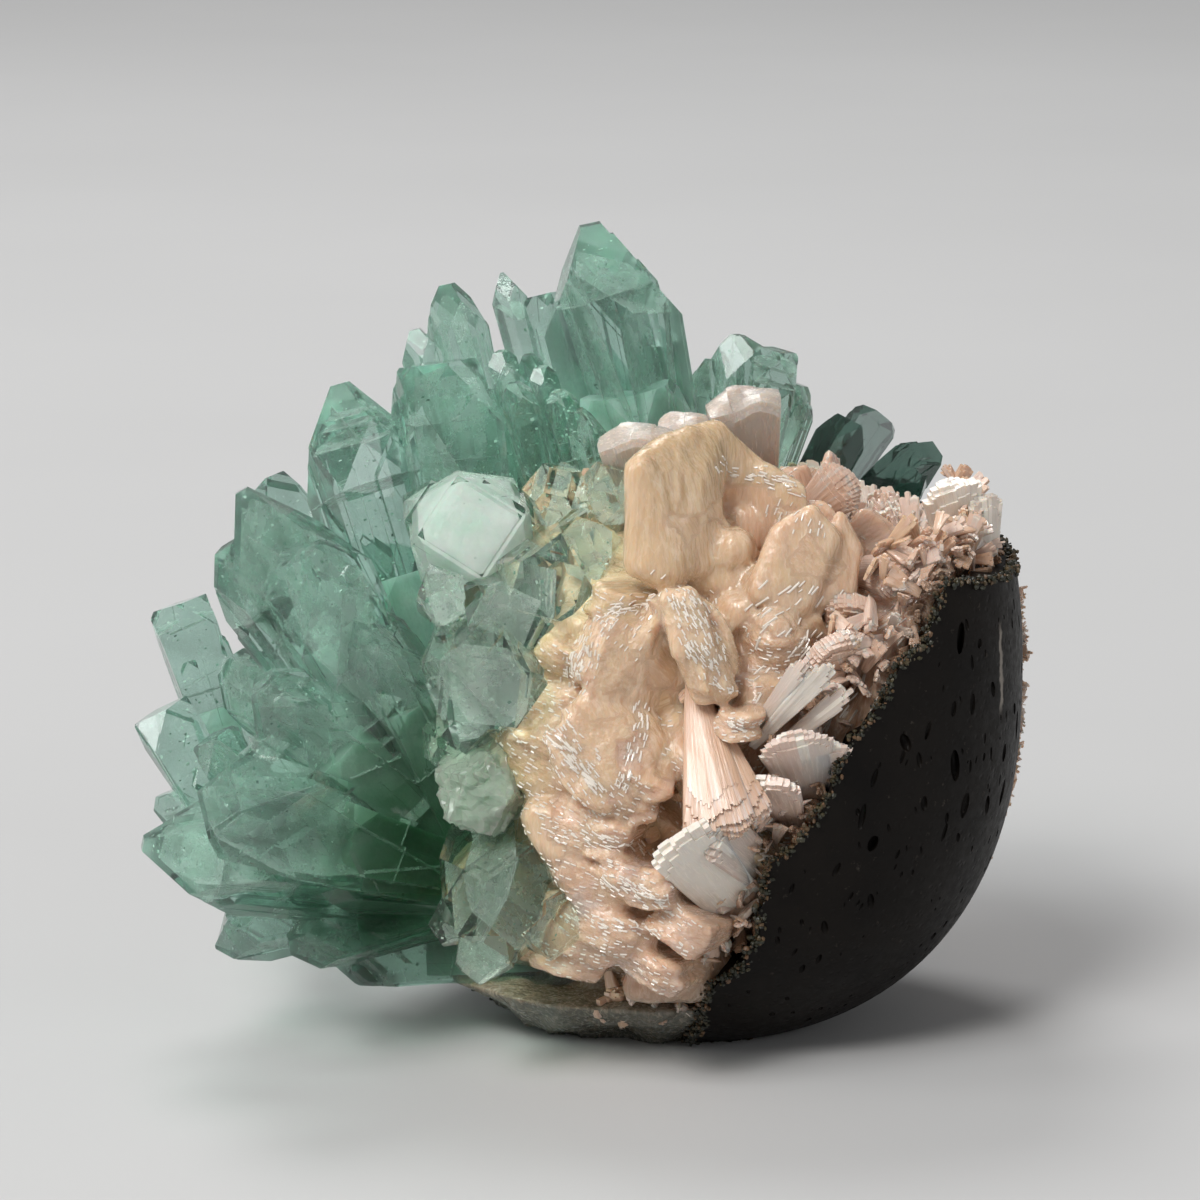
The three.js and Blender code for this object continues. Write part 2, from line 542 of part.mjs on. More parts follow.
const CRUST_THICKNESS = 2;
const CRUST_EDGES = [
  plane(vector([0, -1, 0.12]), vector([0, 7, 30])),
  plane(vector([0, -0.05, -1]), vector([0, 30, 12])),
  plane(vector([-1, -0.3, 0.2]), vector([-6, 30, 30])),
  plane(vector([0.2, -0.1, 1]), vector([30, 20, 51])),
];
const CRUST_ROWS = 2;
const CRUST_ROW_HEIGHT = 15;
const CRUST_LOWEST_ROW = 24;
const CRUST_COLUMNS = 6;
const CRUST_FIRST_TURN = 14;           // degrees about Z from the right-hand side
const CRUST_TURN_STEP = 15;
const CRUST_BLADE_SEAT = 0.97;         // of the ground outline's radius
const CRUST_BLADE_LENGTH = 4.6;
const CRUST_BLADE_WIDTH = 4;
const CRUST_BLADE_THICKNESS = 1.4;

// Blades that stand on the ground outline's far side, in rows from one edge to the other.
function crustBlades(grow) {
  const random = randomStream(61);
  const blades = [];
  for (let row = 0; row < CRUST_ROWS; row += 1) {
    for (let column = 0; column < CRUST_COLUMNS; column += 1) {
      const turn = radians(CRUST_FIRST_TURN + CRUST_TURN_STEP * column + 5 * random());
      const outward = vector([Math.cos(turn), Math.sin(turn), 0.2]);
      const start = vector([
        GROUND_CENTRE[0] + CRUST_BLADE_SEAT * GROUND_RADII[0] * Math.cos(turn),
        GROUND_CENTRE[1] + CRUST_BLADE_SEAT * GROUND_RADII[1] * Math.sin(turn),
        CRUST_LOWEST_ROW + CRUST_ROW_HEIGHT * row + 4 * random(),
      ]);
      const along = outward.add(vector([random() - 0.5, random() - 0.5, random() - 0.5]));
      along.normalize();
      const across = new THREE.Vector3().crossVectors(along, UP).normalize();
      const sizes = [CRUST_BLADE_LENGTH, CRUST_BLADE_WIDTH, CRUST_BLADE_THICKNESS];
      blades.push(convexSolid(bladePlanes(start, along, across, ...sizes), grow));
    }
  }
  return joined(blades);
}

function backCrust(grow) {
  const reach = CRUST_THICKNESS + grow;
  const shell = groundBody([reach, reach, reach]).intersect(region(CRUST_EDGES, grow));
  return shell.add(crustBlades(grow));
}

// ---- Nodes ---------------------------------------------------------------------------------

const underside = region([floorPlane, slantPlane]);

// Each solid gives way, by the gap, to the ones before it and to what else is in `keepOut`.
const rooms = [];

function fitted(build, keepOut = []) {
  const solid = build(0).intersect(underside);
  const cuts = [...rooms, ...keepOut];
  rooms.push(build(GAP));
  return cuts.reduce((rest, room) => rest.subtract(room), solid);
}

const groundRoom = groundBody([GAP, GAP, GAP]);
const pits = joined(VESICLES.map(vesicle));

const matrix = fitted(basalt).subtract(pits);
const spray = fitted(greenSpray);
const clearBand = fitted((grow) => crystalGroup(CLEAR_CRYSTALS, 2, grow));
const milky = fitted((grow) => crystalGroup(MILKY_CRYSTALS, 3, grow));
const darkClear = fitted((grow) => crystalGroup(DARK_CLEAR_CRYSTALS, 4, grow));
const upperRight = fitted((grow) => crystalGroup(UPPER_RIGHT_CRYSTALS, 5, grow));
const backRight = fitted((grow) => crystalGroup(BACK_RIGHT_CRYSTALS, 6, grow));
const crust = fitted(backCrust, [groundRoom]);
const sheaves = fitted(stilbite);

const NODES = [
  { name: 'basalt_matrix', solid: matrix, colour: BASALT_COLOUR, roughness: 0.7 },
  { name: 'green_spray', solid: spray, colour: GREEN_COLOUR, roughness: 0.1 },
  { name: 'clear_band', solid: clearBand, colour: CLEAR_COLOUR, roughness: 0.08 },
  { name: 'milky_crystal', solid: milky, colour: MILKY_COLOUR, roughness: 0.2 },
  { name: 'dark_clear_crystals', solid: darkClear, colour: CLEAR_COLOUR, roughness: 0.08 },
  { name: 'upper_right_crystals', solid: upperRight, colour: CLEAR_COLOUR, roughness: 0.1 },
  { name: 'back_right_crystals', solid: backRight, colour: GREEN_COLOUR, roughness: 0.1 },
  { name: 'stilbite_back_crust', solid: crust, colour: CRUST_COLOUR, roughness: 0.4 },
  { name: 'stilbite_mass', solid: sheaves, colour: STILBITE_COLOUR, roughness: 0.35 },
];

const specimen = new THREE.Group();
for (const { name, solid, colour, roughness } of NODES) {
  const material = new THREE.MeshStandardMaterial({ color: colour, roughness, metalness: 0 });
  const mesh = new THREE.Mesh(toGeometry(solid), material);
  mesh.name = name;
  specimen.add(mesh);
}

// The origin is the bottom centre of the whole specimen's box.
const box = new THREE.Box3().setFromObject(specimen);
const middle = box.getCenter(new THREE.Vector3());
specimen.children.forEach((mesh) => mesh.position.set(-middle.x, -middle.y, -box.min.z));

export default specimen;
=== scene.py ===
# Looks of an apophyllite cluster: green and clear apophyllite crystals with peach stilbite
# sheaves on a ground piece of vesicular basalt. Shapes are made in millimetres in the part's
# working coordinates, and finish_piece() moves them into the frame, in metres.
import math
import random

import bmesh
import bpy
import numpy as np
from mathutils import Matrix, Vector, noise
from mathutils.bvhtree import BVHTree
from mathutils.kdtree import KDTree


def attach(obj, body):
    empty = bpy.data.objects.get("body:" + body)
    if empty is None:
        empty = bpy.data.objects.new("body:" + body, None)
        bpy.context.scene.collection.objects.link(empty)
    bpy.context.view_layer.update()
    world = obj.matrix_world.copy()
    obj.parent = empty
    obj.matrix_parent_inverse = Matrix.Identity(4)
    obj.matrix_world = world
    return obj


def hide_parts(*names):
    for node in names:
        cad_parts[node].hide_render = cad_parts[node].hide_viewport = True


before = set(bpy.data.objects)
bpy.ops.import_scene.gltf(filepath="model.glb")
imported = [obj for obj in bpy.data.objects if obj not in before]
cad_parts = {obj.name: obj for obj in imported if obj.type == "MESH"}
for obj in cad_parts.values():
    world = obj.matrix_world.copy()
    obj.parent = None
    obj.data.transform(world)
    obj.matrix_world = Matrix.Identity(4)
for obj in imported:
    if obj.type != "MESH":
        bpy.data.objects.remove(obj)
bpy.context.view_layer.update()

# ---- Sizes ---------------------------------------------------------------------------------

MM = 0.001
SHIFT = Vector((1.739, -2.640, 0.0))    # from the working coordinates to the part's origin
UP = Vector((0, 0, 1))

PYRAMID_ANGLE = math.radians(60.4)      # between a pyramid face and the base plane
PRISM_JITTER = 0.08                     # uneven growth of the faces, of the half width
TAPER = 0.25                            # how much narrower a crystal is at its root
FAN_TAPER = 0.5
SHOULDER_DEPTH = 1.6                    # half widths from the tip to the prism's full width
LOWEST_SHOULDER = 0.6
LEDGE_REACH = 1.14                      # half widths out to the face of a parallel step

GROUND_CENTRE = (8.0, 3.0, 40.0)        # the ground outline, a superellipsoid
GROUND_RADII = (39.5, 33.0, 42.0)
GROUND_POWER = 2.4
RIM_POINT = Vector((25.9, -23.2, 33.3))
RIM_NORMAL = Vector((-0.837, 0.233, 0.495)).normalized()
BACK_WALL_POINT = Vector((0, 12, 30))
BACK_WALL_NORMAL = Vector((-0.25, -0.87, 0.42)).normalized()
BASALT_TOP = 59.0
SLANT = 0.26                            # fall of the ground underside left of SLANT_START
SLANT_START = -6.0
FAR = 150.0
CAMERA_TARGET = Vector((1.74, -2.64, 48.5)) * MM
CAMERA_DISTANCE = 0.6
CAMERA_ELEVATION = math.radians(12)
VIEW_WIDTH = 0.1344                     # seen at the target

APOPHYLLITE_INDEX = 1.535
ARC = 0.2                               # how far the sides of a sheaf's end fall back
SKIN_CELL = 0.46                        # steps in which the skin is made
SKIN_ROUNDS = 2                         # how often it is smoothed
FOLD_ROUNDS = 40                        # more of that fills the folds, to measure them
PAINTED_GLINT_TONE = 1.2                            # tone of the blade ends, lightened to a painted highlight
BLADE_ANGLE = 32                        # sharper edges than this stay sharp, in degrees
ROSETTE_BLADES = 7
RIM_BLADES = 540
FRONT_SHEAVES = 200
UPPER_SHEAVES = 260
PIT_COUNT = 280
GRAIN_COUNT = 2000
CRUST_FLAKES = 4200
EDGE_FLAKES = 900

# ---- Meshes --------------------------------------------------------------------------------


def bm_to_mesh(bm, name="mesh"):
    mesh = bpy.data.meshes.new(name)
    bm.to_mesh(mesh)
    bm.free()
    return mesh


def paint(mesh, name, values):
    mesh.attributes.new(name, "FLOAT", "POINT").data.foreach_set("value", values)


def paint_vectors(mesh, name, values):
    mesh.attributes.new(name, "FLOAT_VECTOR", "POINT").data.foreach_set("vector", values)


def boolean(first, others, operation):
    """A closed mesh joined with, cut by or kept inside other closed meshes."""
    scene = bpy.context.scene
    holder = bpy.data.collections.new("operands")
    scene.collection.children.link(holder)
    base = bpy.data.objects.new("base", first)
    scene.collection.objects.link(base)
    tools = [bpy.data.objects.new("operand", mesh) for mesh in others]
    for tool in tools:
        holder.objects.link(tool)
    modifier = base.modifiers.new("boolean", "BOOLEAN")
    modifier.operation = operation
    modifier.operand_type = "COLLECTION"
    modifier.collection = holder
    modifier.solver = "MANIFOLD"
    shape = base.evaluated_get(bpy.context.evaluated_depsgraph_get())
    result = bpy.data.meshes.new_from_object(shape)
    for item in [base, *tools]:
        bpy.data.objects.remove(item)
    bpy.data.collections.remove(holder)
    return result


def union(meshes):
    return boolean(meshes[0], meshes[1:], "UNION") if len(meshes) > 1 else meshes[0]


def cut(bm, point, normal):
    """Takes away what lies on the normal's side of a plane and closes the cut."""
    bmesh.ops.bisect_plane(
        bm, geom=[*bm.verts, *bm.edges, *bm.faces], dist=1e-5,
        plane_co=point, plane_no=normal, clear_outer=True)
    bmesh.ops.holes_fill(bm, edges=[edge for edge in bm.edges if edge.is_boundary], sides=0)


def convex(planes):
    """The convex body inside planes, each given as a point and an outward normal."""
    bm = bmesh.new()
    bmesh.ops.create_cube(bm, size=2 * FAR)
    for point, normal in planes:
        cut(bm, Vector(point), Vector(normal))
    bmesh.ops.recalc_face_normals(bm, faces=bm.faces)
    return bm_to_mesh(bm)


def ground_level(x):
    """Height of the specimen's underside, level on the right and rising to the left."""
    return np.maximum(0.03, (SLANT_START - x) * SLANT)


def finish_piece(name, mesh, material, slot, node, smooth_angle=None):
    """A shown piece from a mesh in working millimetres."""
    mesh.transform(Matrix.Scale(MM, 4) @ Matrix.Translation(SHIFT))
    mesh.name = name
    mesh.materials.clear()
    mesh.materials.append(material)
    if smooth_angle is None:
        mesh.shade_flat()
    else:
        mesh.shade_smooth()
        mesh.set_sharp_from_angle(angle=math.radians(smooth_angle))
    piece = bpy.data.objects.new(name, mesh)
    bpy.context.scene.collection.objects.link(piece)
    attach(piece, "root")
    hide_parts(node)


# ---- Apophyllite ---------------------------------------------------------------------------


def growth_stream(seed):
    """The repeatable numbers from 0 to 1 that make a crystal's faces uneven."""
    state = (seed * 2654435761 + 12345) % 4294967296
    while True:
        state = (state * 1664525 + 1013904223) % 4294967296
        yield state / 4294967296


class Crystal:
    """A tapered square prism with four pyramid faces and a small flat tip."""

    def __init__(self, root, tip, half, flat, spin, steps=(), taper=TAPER, seed=0):
        self.root, self.tip = Vector(root), Vector(tip)
        self.half, self.flat, self.spin, self.taper = half, flat, spin, taper
        self.steps, self.seed = steps, seed
        self.length = (self.tip - self.root).length
        self.along = (self.tip - self.root).normalized()
        front = (Vector((0, -1, 0)) + self.along * self.along.y).normalized()
        self.front = Matrix.Rotation(math.radians(spin), 3, self.along) @ front
        self.side = self.along.cross(self.front)
        stream = growth_stream(seed)
        self.shoulders, self.unevenness = [], []
        for _ in range(4):
            self.shoulders.append(half * (1 + PRISM_JITTER * (2 * next(stream) - 1)))
            self.unevenness.append(2 * PRISM_JITTER * half * (next(stream) - 0.5))
        self.shoulder_height = max(self.length - SHOULDER_DEPTH * half,
                                   LOWEST_SHOULDER * self.length)

    def direction(self, degrees):
        turn = math.radians(degrees)
        return self.front * math.cos(turn) + self.side * math.sin(turn)

    def copy(self, shift, drop, scale, seed):
        """A smaller crystal that grew parallel to this one."""
        return Crystal(self.root + shift, self.tip + shift - self.along * drop,
                       self.half * scale, self.flat, self.spin, (), self.taper, seed)

    def pyramid(self):
        """Point and normal of each pyramid face and of the flat tip."""
        sine, cosine = math.sin(PYRAMID_ANGLE), math.cos(PYRAMID_ANGLE)
        planes = []
        for quarter in range(4):
            normal = self.direction(90 * quarter + 45) * sine + self.along * cosine
            away = cosine * self.length
            away += sine * (self.flat * self.half + self.unevenness[quarter])
            planes.append((self.root + normal * away, normal))
        return planes + [(self.tip, self.along)]

    def outline(self, rng, relief):
        """The cross-section, with each side in strips that lie up to `relief` deep."""
        strips = max(2, min(9, round(1.3 * self.half))) if relief else 1
        depths = [[relief * rng.random() ** 2 for _ in range(strips)] for _ in range(4)]
        points = []
        for quarter in range(4):
            normal = Vector((math.cos(math.pi / 2 * quarter), math.sin(math.pi / 2 * quarter)))
            across = Vector((-normal.y, normal.x))
            far = self.shoulders[quarter]
            left, right = self.shoulders[quarter - 1], self.shoulders[(quarter + 1) % 4]
            places = sorted(rng.uniform(-0.85 * left, 0.85 * right) for _ in range(strips - 1))
            for index, place in enumerate(places):
                for depth in depths[quarter][index:index + 2]:
                    points.append(normal * (far - depth) + across * place)
            corner = normal * (far - depths[quarter][-1])
            corner += across * (right - depths[(quarter + 1) % 4][0])
            points.append(corner)
        return points

    def mesh(self, relief=0.0):
        """The closed mesh of this crystal alone."""
        rng = random.Random(self.seed)
        bm = bmesh.new()
        rings = []
        outline = self.outline(rng, relief)
        for height in (0.0, self.length + 1):
            scale = 1 - self.taper + self.taper * height / self.shoulder_height
            centre = self.root + self.along * height
            rings.append([
                bm.verts.new(centre + (self.front * p.x + self.side * p.y) * scale)
                for p in outline])
        count = len(outline)
        for index in range(count):
            after = (index + 1) % count
            bm.faces.new((rings[0][index], rings[0][after], rings[1][after], rings[1][index]))
        bm.faces.new(rings[1])
        bm.faces.new(rings[0][::-1])
        for point, normal in self.pyramid():
            cut(bm, point, normal)
        bmesh.ops.recalc_face_normals(bm, faces=bm.faces)
        return bm_to_mesh(bm)

    def parallel_growth(self, extra):
        """The step crystals, then `extra` smaller ones on the prism and terraces on the tip."""
        rng = random.Random(1000 + self.seed)
        grown = []
        for index, (turn, drop, scale) in enumerate(self.steps):
            shift = self.direction(turn) * self.half * (LEDGE_REACH - scale)
            grown.append(self.copy(shift, drop, scale, self.seed * 17 + index))
        for index in range(extra):
            scale = rng.uniform(0.22, 0.55)
            turn = 90 * rng.randrange(4) + rng.uniform(-38, 38)
            lean = math.cos(math.radians(turn % 90 - 45))
            reach = min(1.12, rng.uniform(1.02, 1.11) / max(0.75, lean))
            shift = self.direction(turn) * self.half * (reach - scale)
            drop = self.length * rng.uniform(0.08, 0.6) ** 1.3
            grown.append(self.copy(shift, drop, scale, self.seed * 31 + index))
        for index in range(extra // 2):
            scale = rng.uniform(0.35, 0.7)
            drop = rng.uniform(0.15, 0.9) * self.half
            raised = rng.uniform(0.08, 0.22)
            shift = (raised + math.cos(PYRAMID_ANGLE) * drop) / math.sin(PYRAMID_ANGLE)
            shift += self.flat * self.half * (1 - scale)
            turn = 90 * rng.randrange(4) + 45
            grown.append(self.copy(self.direction(turn) * shift, drop, scale,
                                   self.seed * 37 + index))
        return grown

    def core(self, share, shrink):
        """The cloudy inner part, which ends at `share` of the length."""
        inner = self.copy(Vector(), self.length * (1 - share), shrink, self.seed)
        inner.flat = 0.85
        inner.shoulder_height = self.shoulder_height
        return inner


FAN_ROOT = (-14.5, -10, 19)
GREEN_ROOT = (-16.5, -22, 22)           # where the green is deepest, in front of the fan's root

# each crystal's root, tip, half width, flatness of the tip in half widths and turn about its
# axis, with the turn, the drop in mm and the scale of each smaller crystal that steps off it
FAN = [
    ((-14, -5, 20), (-29.3, 4, 72.3), 5.2, 0.16, 32,
     [(228, 5, 0.62), (245, 10, 0.6), (210, 14, 0.55), (60, 12, 0.5)]),
    (FAN_ROOT, (-39.3, -8, 62.6), 6.3, 0.08, 45, [(225, 8, 0.55), (90, 5, 0.5)]),
    ((-16, -9, 19), (-41.2, -9, 56.5), 3.8, 0.3, 30),
    (FAN_ROOT, (-33, -17, 57.2), 4.9, 0.5, 20, [(20, 9, 0.6), (110, 6, 0.6)]),
    (FAN_ROOT, (-25.5, -17, 50), 4, 0.4, 30, [(0, 6, 0.6)]),
    (FAN_ROOT, (-36.5, -20, 44), 4.6, 0.3, 25, [(40, 5, 0.6)]),
    (FAN_ROOT, (-39, -18, 37), 4.6, 0.3, 55),
    ((-15, -9, 20), (-40.5, -31, 33), 5.3, 0.55, 15, [(-60, 4, 0.6), (90, 5, 0.5)]),
    ((-14, -10, 18), (-50.3, -17, 24.6), 5.3, 0.12, 40, [(0, 7, 0.6), (60, 10, 0.55)]),
    ((-14, -8, 17), (-43.3, -7, 11.5), 3.2, 0.35, 35),
    ((-14, -10, 16), (-34.5, -14, 12.3), 3, 0.3, 30),
    ((0, -6, 9.5), (-30, -5, 10.5), 4.5, 0.4, 10),
    ((-38, 5, 17), (-48, 9, 46.2), 3.3, 0.7, 14, [(90, 5, 0.7)]),
    ((-38, 0, 14), (-49.6, 2, 35.4), 3.2, 0.8, 20, [(60, 5, 0.6)]),
    ((-34, -6, 18), (-43.2, -6, 34.2), 2.5, 0.7, 5),
    ((-15, -6, 19), (-50.2, 3, 24.5), 2.8, 0.3, 45),
    ((-14, -5, 20), (-42, 6, 40), 4.2, 0.4, 25),
    ((-13, -3, 21), (-37, 22, 33), 3.8, 0.4, 50),
]
TOP = [
    ((-12, -3, 24), (-18.4, 3, 74.9), 4.7, 0.65, 18, [(-60, 4, 0.55), (20, 7, 0.6)]),
    ((-2, 6, 38), (-11.2, 3, 76.2), 1.7, 0.3, 10),
    ((0, 7, 38), (-8.2, 4.5, 75.6), 1.6, 0.3, 30),
    ((2, 5, 38), (-6.6, 1, 74.8), 1.6, 0.3, 5),
    ((0, 4, 38), (-9.6, -0.5, 73.3), 1.7, 0.3, 20),
    ((4, 4, 38), (-4.8, -1, 72.4), 1.9, 0.3, 15),
    ((6, 3, 38), (-2.6, -2, 70.4), 2.1, 0.3, 40),
    ((-9, 2, 26), (-11.5, 9, 71), 4.2, 0.8, 20),
    ((11, 8, 33), (-0.8, 8, 89.8), 5.5, 0.2, 50, [(225, 11, 0.5), (20, 17, 0.45)]),
    ((-7, 12, 34), (-17.4, 18, 81.5), 2.7, 0.3, 30, [(-60, 4, 0.6)]),
    ((-9, 12, 34), (-21, 16, 76.6), 1.9, 0.3, 45),
    ((0, 17, 40), (-11.4, 26, 81.6), 1.6, 0.1, 45),
    ((2, 16, 40), (-6.2, 24, 79.4), 2.6, 0.6, 15),
    ((-10, 4, 27), (-38.4, 18, 58.2), 2.7, 0.7, 20),
    ((-9, 6, 28), (-30, 29, 50), 4.2, 0.3, 30),
    ((-8, 8, 28), (-20, 30, 65), 4.4, 0.3, 15),
    ((6, 12, 40), (3, 27, 75), 3.6, 0.4, 35),
]
CLEAR = [
    ((-14, -2, 54), (-14, -18.5, 60.5), 5.6, 0.75, 12, [(-80, 1.5, 0.6), (100, 2, 0.55)]),
    ((-5, 0, 56), (-4.6, -14.5, 64.6), 2.9, 0.5, 35),
    ((2, 0, 56), (1, -13.5, 64.8), 2.9, 0.5, 20),
    ((0, -3, 54), (-1.6, -18.5, 58.4), 2.7, 0.4, 45),
    ((-6, -6, 56), (-5.6, -25, 55), 3.7, 0.9, 8),
    ((-9, -6, 54), (-9.6, -24, 50.8), 4.2, 0.7, 30),
    ((-15, -6, 54), (-17, -21.5, 52.5), 2.8, 0.5, 40),
    ((-12, -6, 49), (-12.6, -28.5, 44), 4.9, 0.7, 45, [(160, 2, 0.5)]),
    ((-14, -8, 44), (-14.8, -25, 39), 2.8, 0.6, 15),
    ((-15.5, -8, 41), (-17.2, -21.5, 35.4), 2.1, 0.5, 35),
]
MILKY = [
    ((-12.5, -9, 35.5), (-13, -27.5, 31.2), 3.7, 0.6, 28, [(150, 2, 0.6)]),
]
DARK_CLEAR = [
    ((-9, -8, 26), (-10.8, -30.5, 18.8), 4.9, 0.7, 30, [(-30, 2.5, 0.6)]),
    ((-5, -10, 22), (-5.5, -31, 18.2), 3.2, 0.6, 10),
    ((-9, -12, 20), (-13.2, -30.5, 14.2), 2.5, 0.5, 40),
    ((-11, -12, 21), (-17, -28, 17.4), 2, 0.4, 45),
]
UPPER_RIGHT = [
    ((12, 14, 50), (16.6, 16, 75.8), 2.9, 0.5, 25, [(60, 3, 0.6), (-60, 5, 0.6)]),
    ((15, 13, 50), (20.2, 13.5, 74.6), 2.6, 0.6, 10, [(-90, 5, 0.6)]),
    ((11, 15, 50), (13.4, 18, 72.8), 2.8, 0.5, 40),
    ((15, 16, 48), (22.5, 18, 70), 2.4, 0.5, 20),
]
BACK_RIGHT = [
    ((22, 19, 49), (39, 28, 60.6), 2.4, 0.4, 45, [(0, 3, 0.6)]),
    ((22, 20, 50), (32, 29, 64), 2.5, 1, 10),
    ((20, 19, 49), (29, 24, 64.5), 2.2, 0.7, 30),
    ((24, 19, 48), (37, 23, 58.4), 1.9, 0.6, 20),
]


def crystals(specs, group, taper=TAPER, first=0):
    """Crystals from the rows of a table, each with a seed of its own."""
    return [Crystal(*spec, taper=taper, seed=group * 100 + first + index)
            for index, spec in enumerate(specs)]


def grown_together(main, extra, relief):
    """One closed mesh of the crystals, their parallel growth and the ground underside."""
    meshes = []
    for crystal in main:
        count = round(extra * min(1.5, crystal.half / 4))
        for part in [crystal, *crystal.parallel_growth(count)]:
            meshes.append(part.mesh(relief))
    return boolean(union(meshes), [above_ground(0.02)], "INTERSECT")


def above_ground(gap):
    slant = Vector((-SLANT, 0, -1))
    return convex([((0, 0, gap), -UP), ((SLANT_START, 0, gap), slant)])


def cloudy_cores(main, rng, low, high):
    """One closed mesh of the cloudy inner parts of the larger crystals.

    Each ends between the shares `low` and `high` of its crystal's length.
    """
    cores = [crystal.core(rng.uniform(low, high), rng.uniform(0.78, 0.86)).mesh()
             for crystal in main if crystal.half > 2.2]
    return boolean(union(cores), [above_ground(0.5)], "INTERSECT")


def healed_cracks(main, rng, share):
    """Thin plates across and along the inside of the crystals, as one mesh."""
    whole = bmesh.new()
    for crystal in main:
        for _ in range(round(share * crystal.half)):
            inner = crystal.core(0.97, 0.93)
            inner.flat = crystal.flat
            piece = bmesh.new()
            piece.from_mesh(inner.mesh())
            kind = rng.random()
            if kind < 0.4:
                normal = crystal.along + Vector([rng.gauss(0, 0.12) for _ in range(3)])
            elif kind < 0.7:
                normal = crystal.direction(rng.uniform(0, 360)) + crystal.along * 0.15
            else:
                normal = Vector([rng.gauss(0, 1) for _ in range(3)])
            normal.normalize()
            place = crystal.root + crystal.along * crystal.length * rng.uniform(0.35, 0.93)
            place += crystal.direction(rng.uniform(0, 360)) * crystal.half * rng.uniform(0, 0.5)
            cut(piece, place, normal)
            cut(piece, place - normal * 0.06, -normal)
            side = crystal.direction(rng.uniform(0, 360))
            cut(piece, place + side * crystal.half * rng.uniform(0.1, 0.9), side)
            if piece.faces:
                whole.from_mesh(bm_to_mesh(piece))
            else:
                piece.free()
    bmesh.ops.recalc_face_normals(whole, faces=whole.faces)
    return bm_to_mesh(whole)


BOX = [(x, y, z) for x in (-0.5, 0.5) for y in (-0.5, 0.5) for z in (-0.5, 0.5)]
BOX_FACES = [(0, 1, 3, 2), (4, 6, 7, 5), (0, 4, 5, 1), (2, 3, 7, 6), (0, 2, 6, 4), (1, 5, 7, 3)]


def boxes(items, corners):
    """One mesh of many small boxes with the same corners, each given as a matrix and a tone."""
    turns = np.array([matrix for matrix, _ in items])
    wide = np.c_[np.array(corners), np.ones(8)]
    points = np.einsum("nij,kj->nki", turns, wide)[:, :, :3].reshape(-1, 3)
    faces = (np.arange(len(items))[:, None, None] * 8 + np.array(BOX_FACES)).reshape(-1, 4)
    mesh = bpy.data.meshes.new("boxes")
    mesh.from_pydata(points.tolist(), [], faces.tolist())
    paint(mesh, "tone", np.repeat([tone for _, tone in items], 8))
    return mesh


def flecks(main, rng, per_size):
    """Tiny flat inclusions in the crystals, more of them near the tips."""
    items = []
    for crystal in main:
        for _ in range(round(per_size * crystal.half)):
            height = crystal.length * (0.3 + 0.66 * rng.random() ** 0.6)
            room = crystal.half * (1 - crystal.taper * (1 - height / crystal.shoulder_height))
            room = min(room, (crystal.length - height) / 1.9 + crystal.flat * crystal.half)
            turn = rng.uniform(0, 360)
            place = crystal.root + crystal.along * height
            place += crystal.direction(turn) * room * 0.85 * math.sqrt(rng.random())
            if place.z < ground_level(place.x) + 1:
                continue
            size = rng.uniform(0.1, 0.42)
            shape = Matrix.Diagonal((size, size * rng.uniform(0.2, 0.9), 0.03, 1))
            frame_turn = crystal.along.to_track_quat("Z", "Y").to_matrix().to_4x4()
            tilt = Matrix.Rotation(rng.choice((0, math.pi / 2, PYRAMID_ANGLE)), 4, "X")
            spin = Matrix.Rotation(math.radians(turn), 4, "Z")
            items.append((Matrix.Translation(place) @ frame_turn @ spin @ tilt @ shape,
                          rng.random()))
    return boxes(items, BOX)


# ---- Materials -----------------------------------------------------------------------------


def rgb(red, green, blue):
    return (red, green, blue, 1.0)


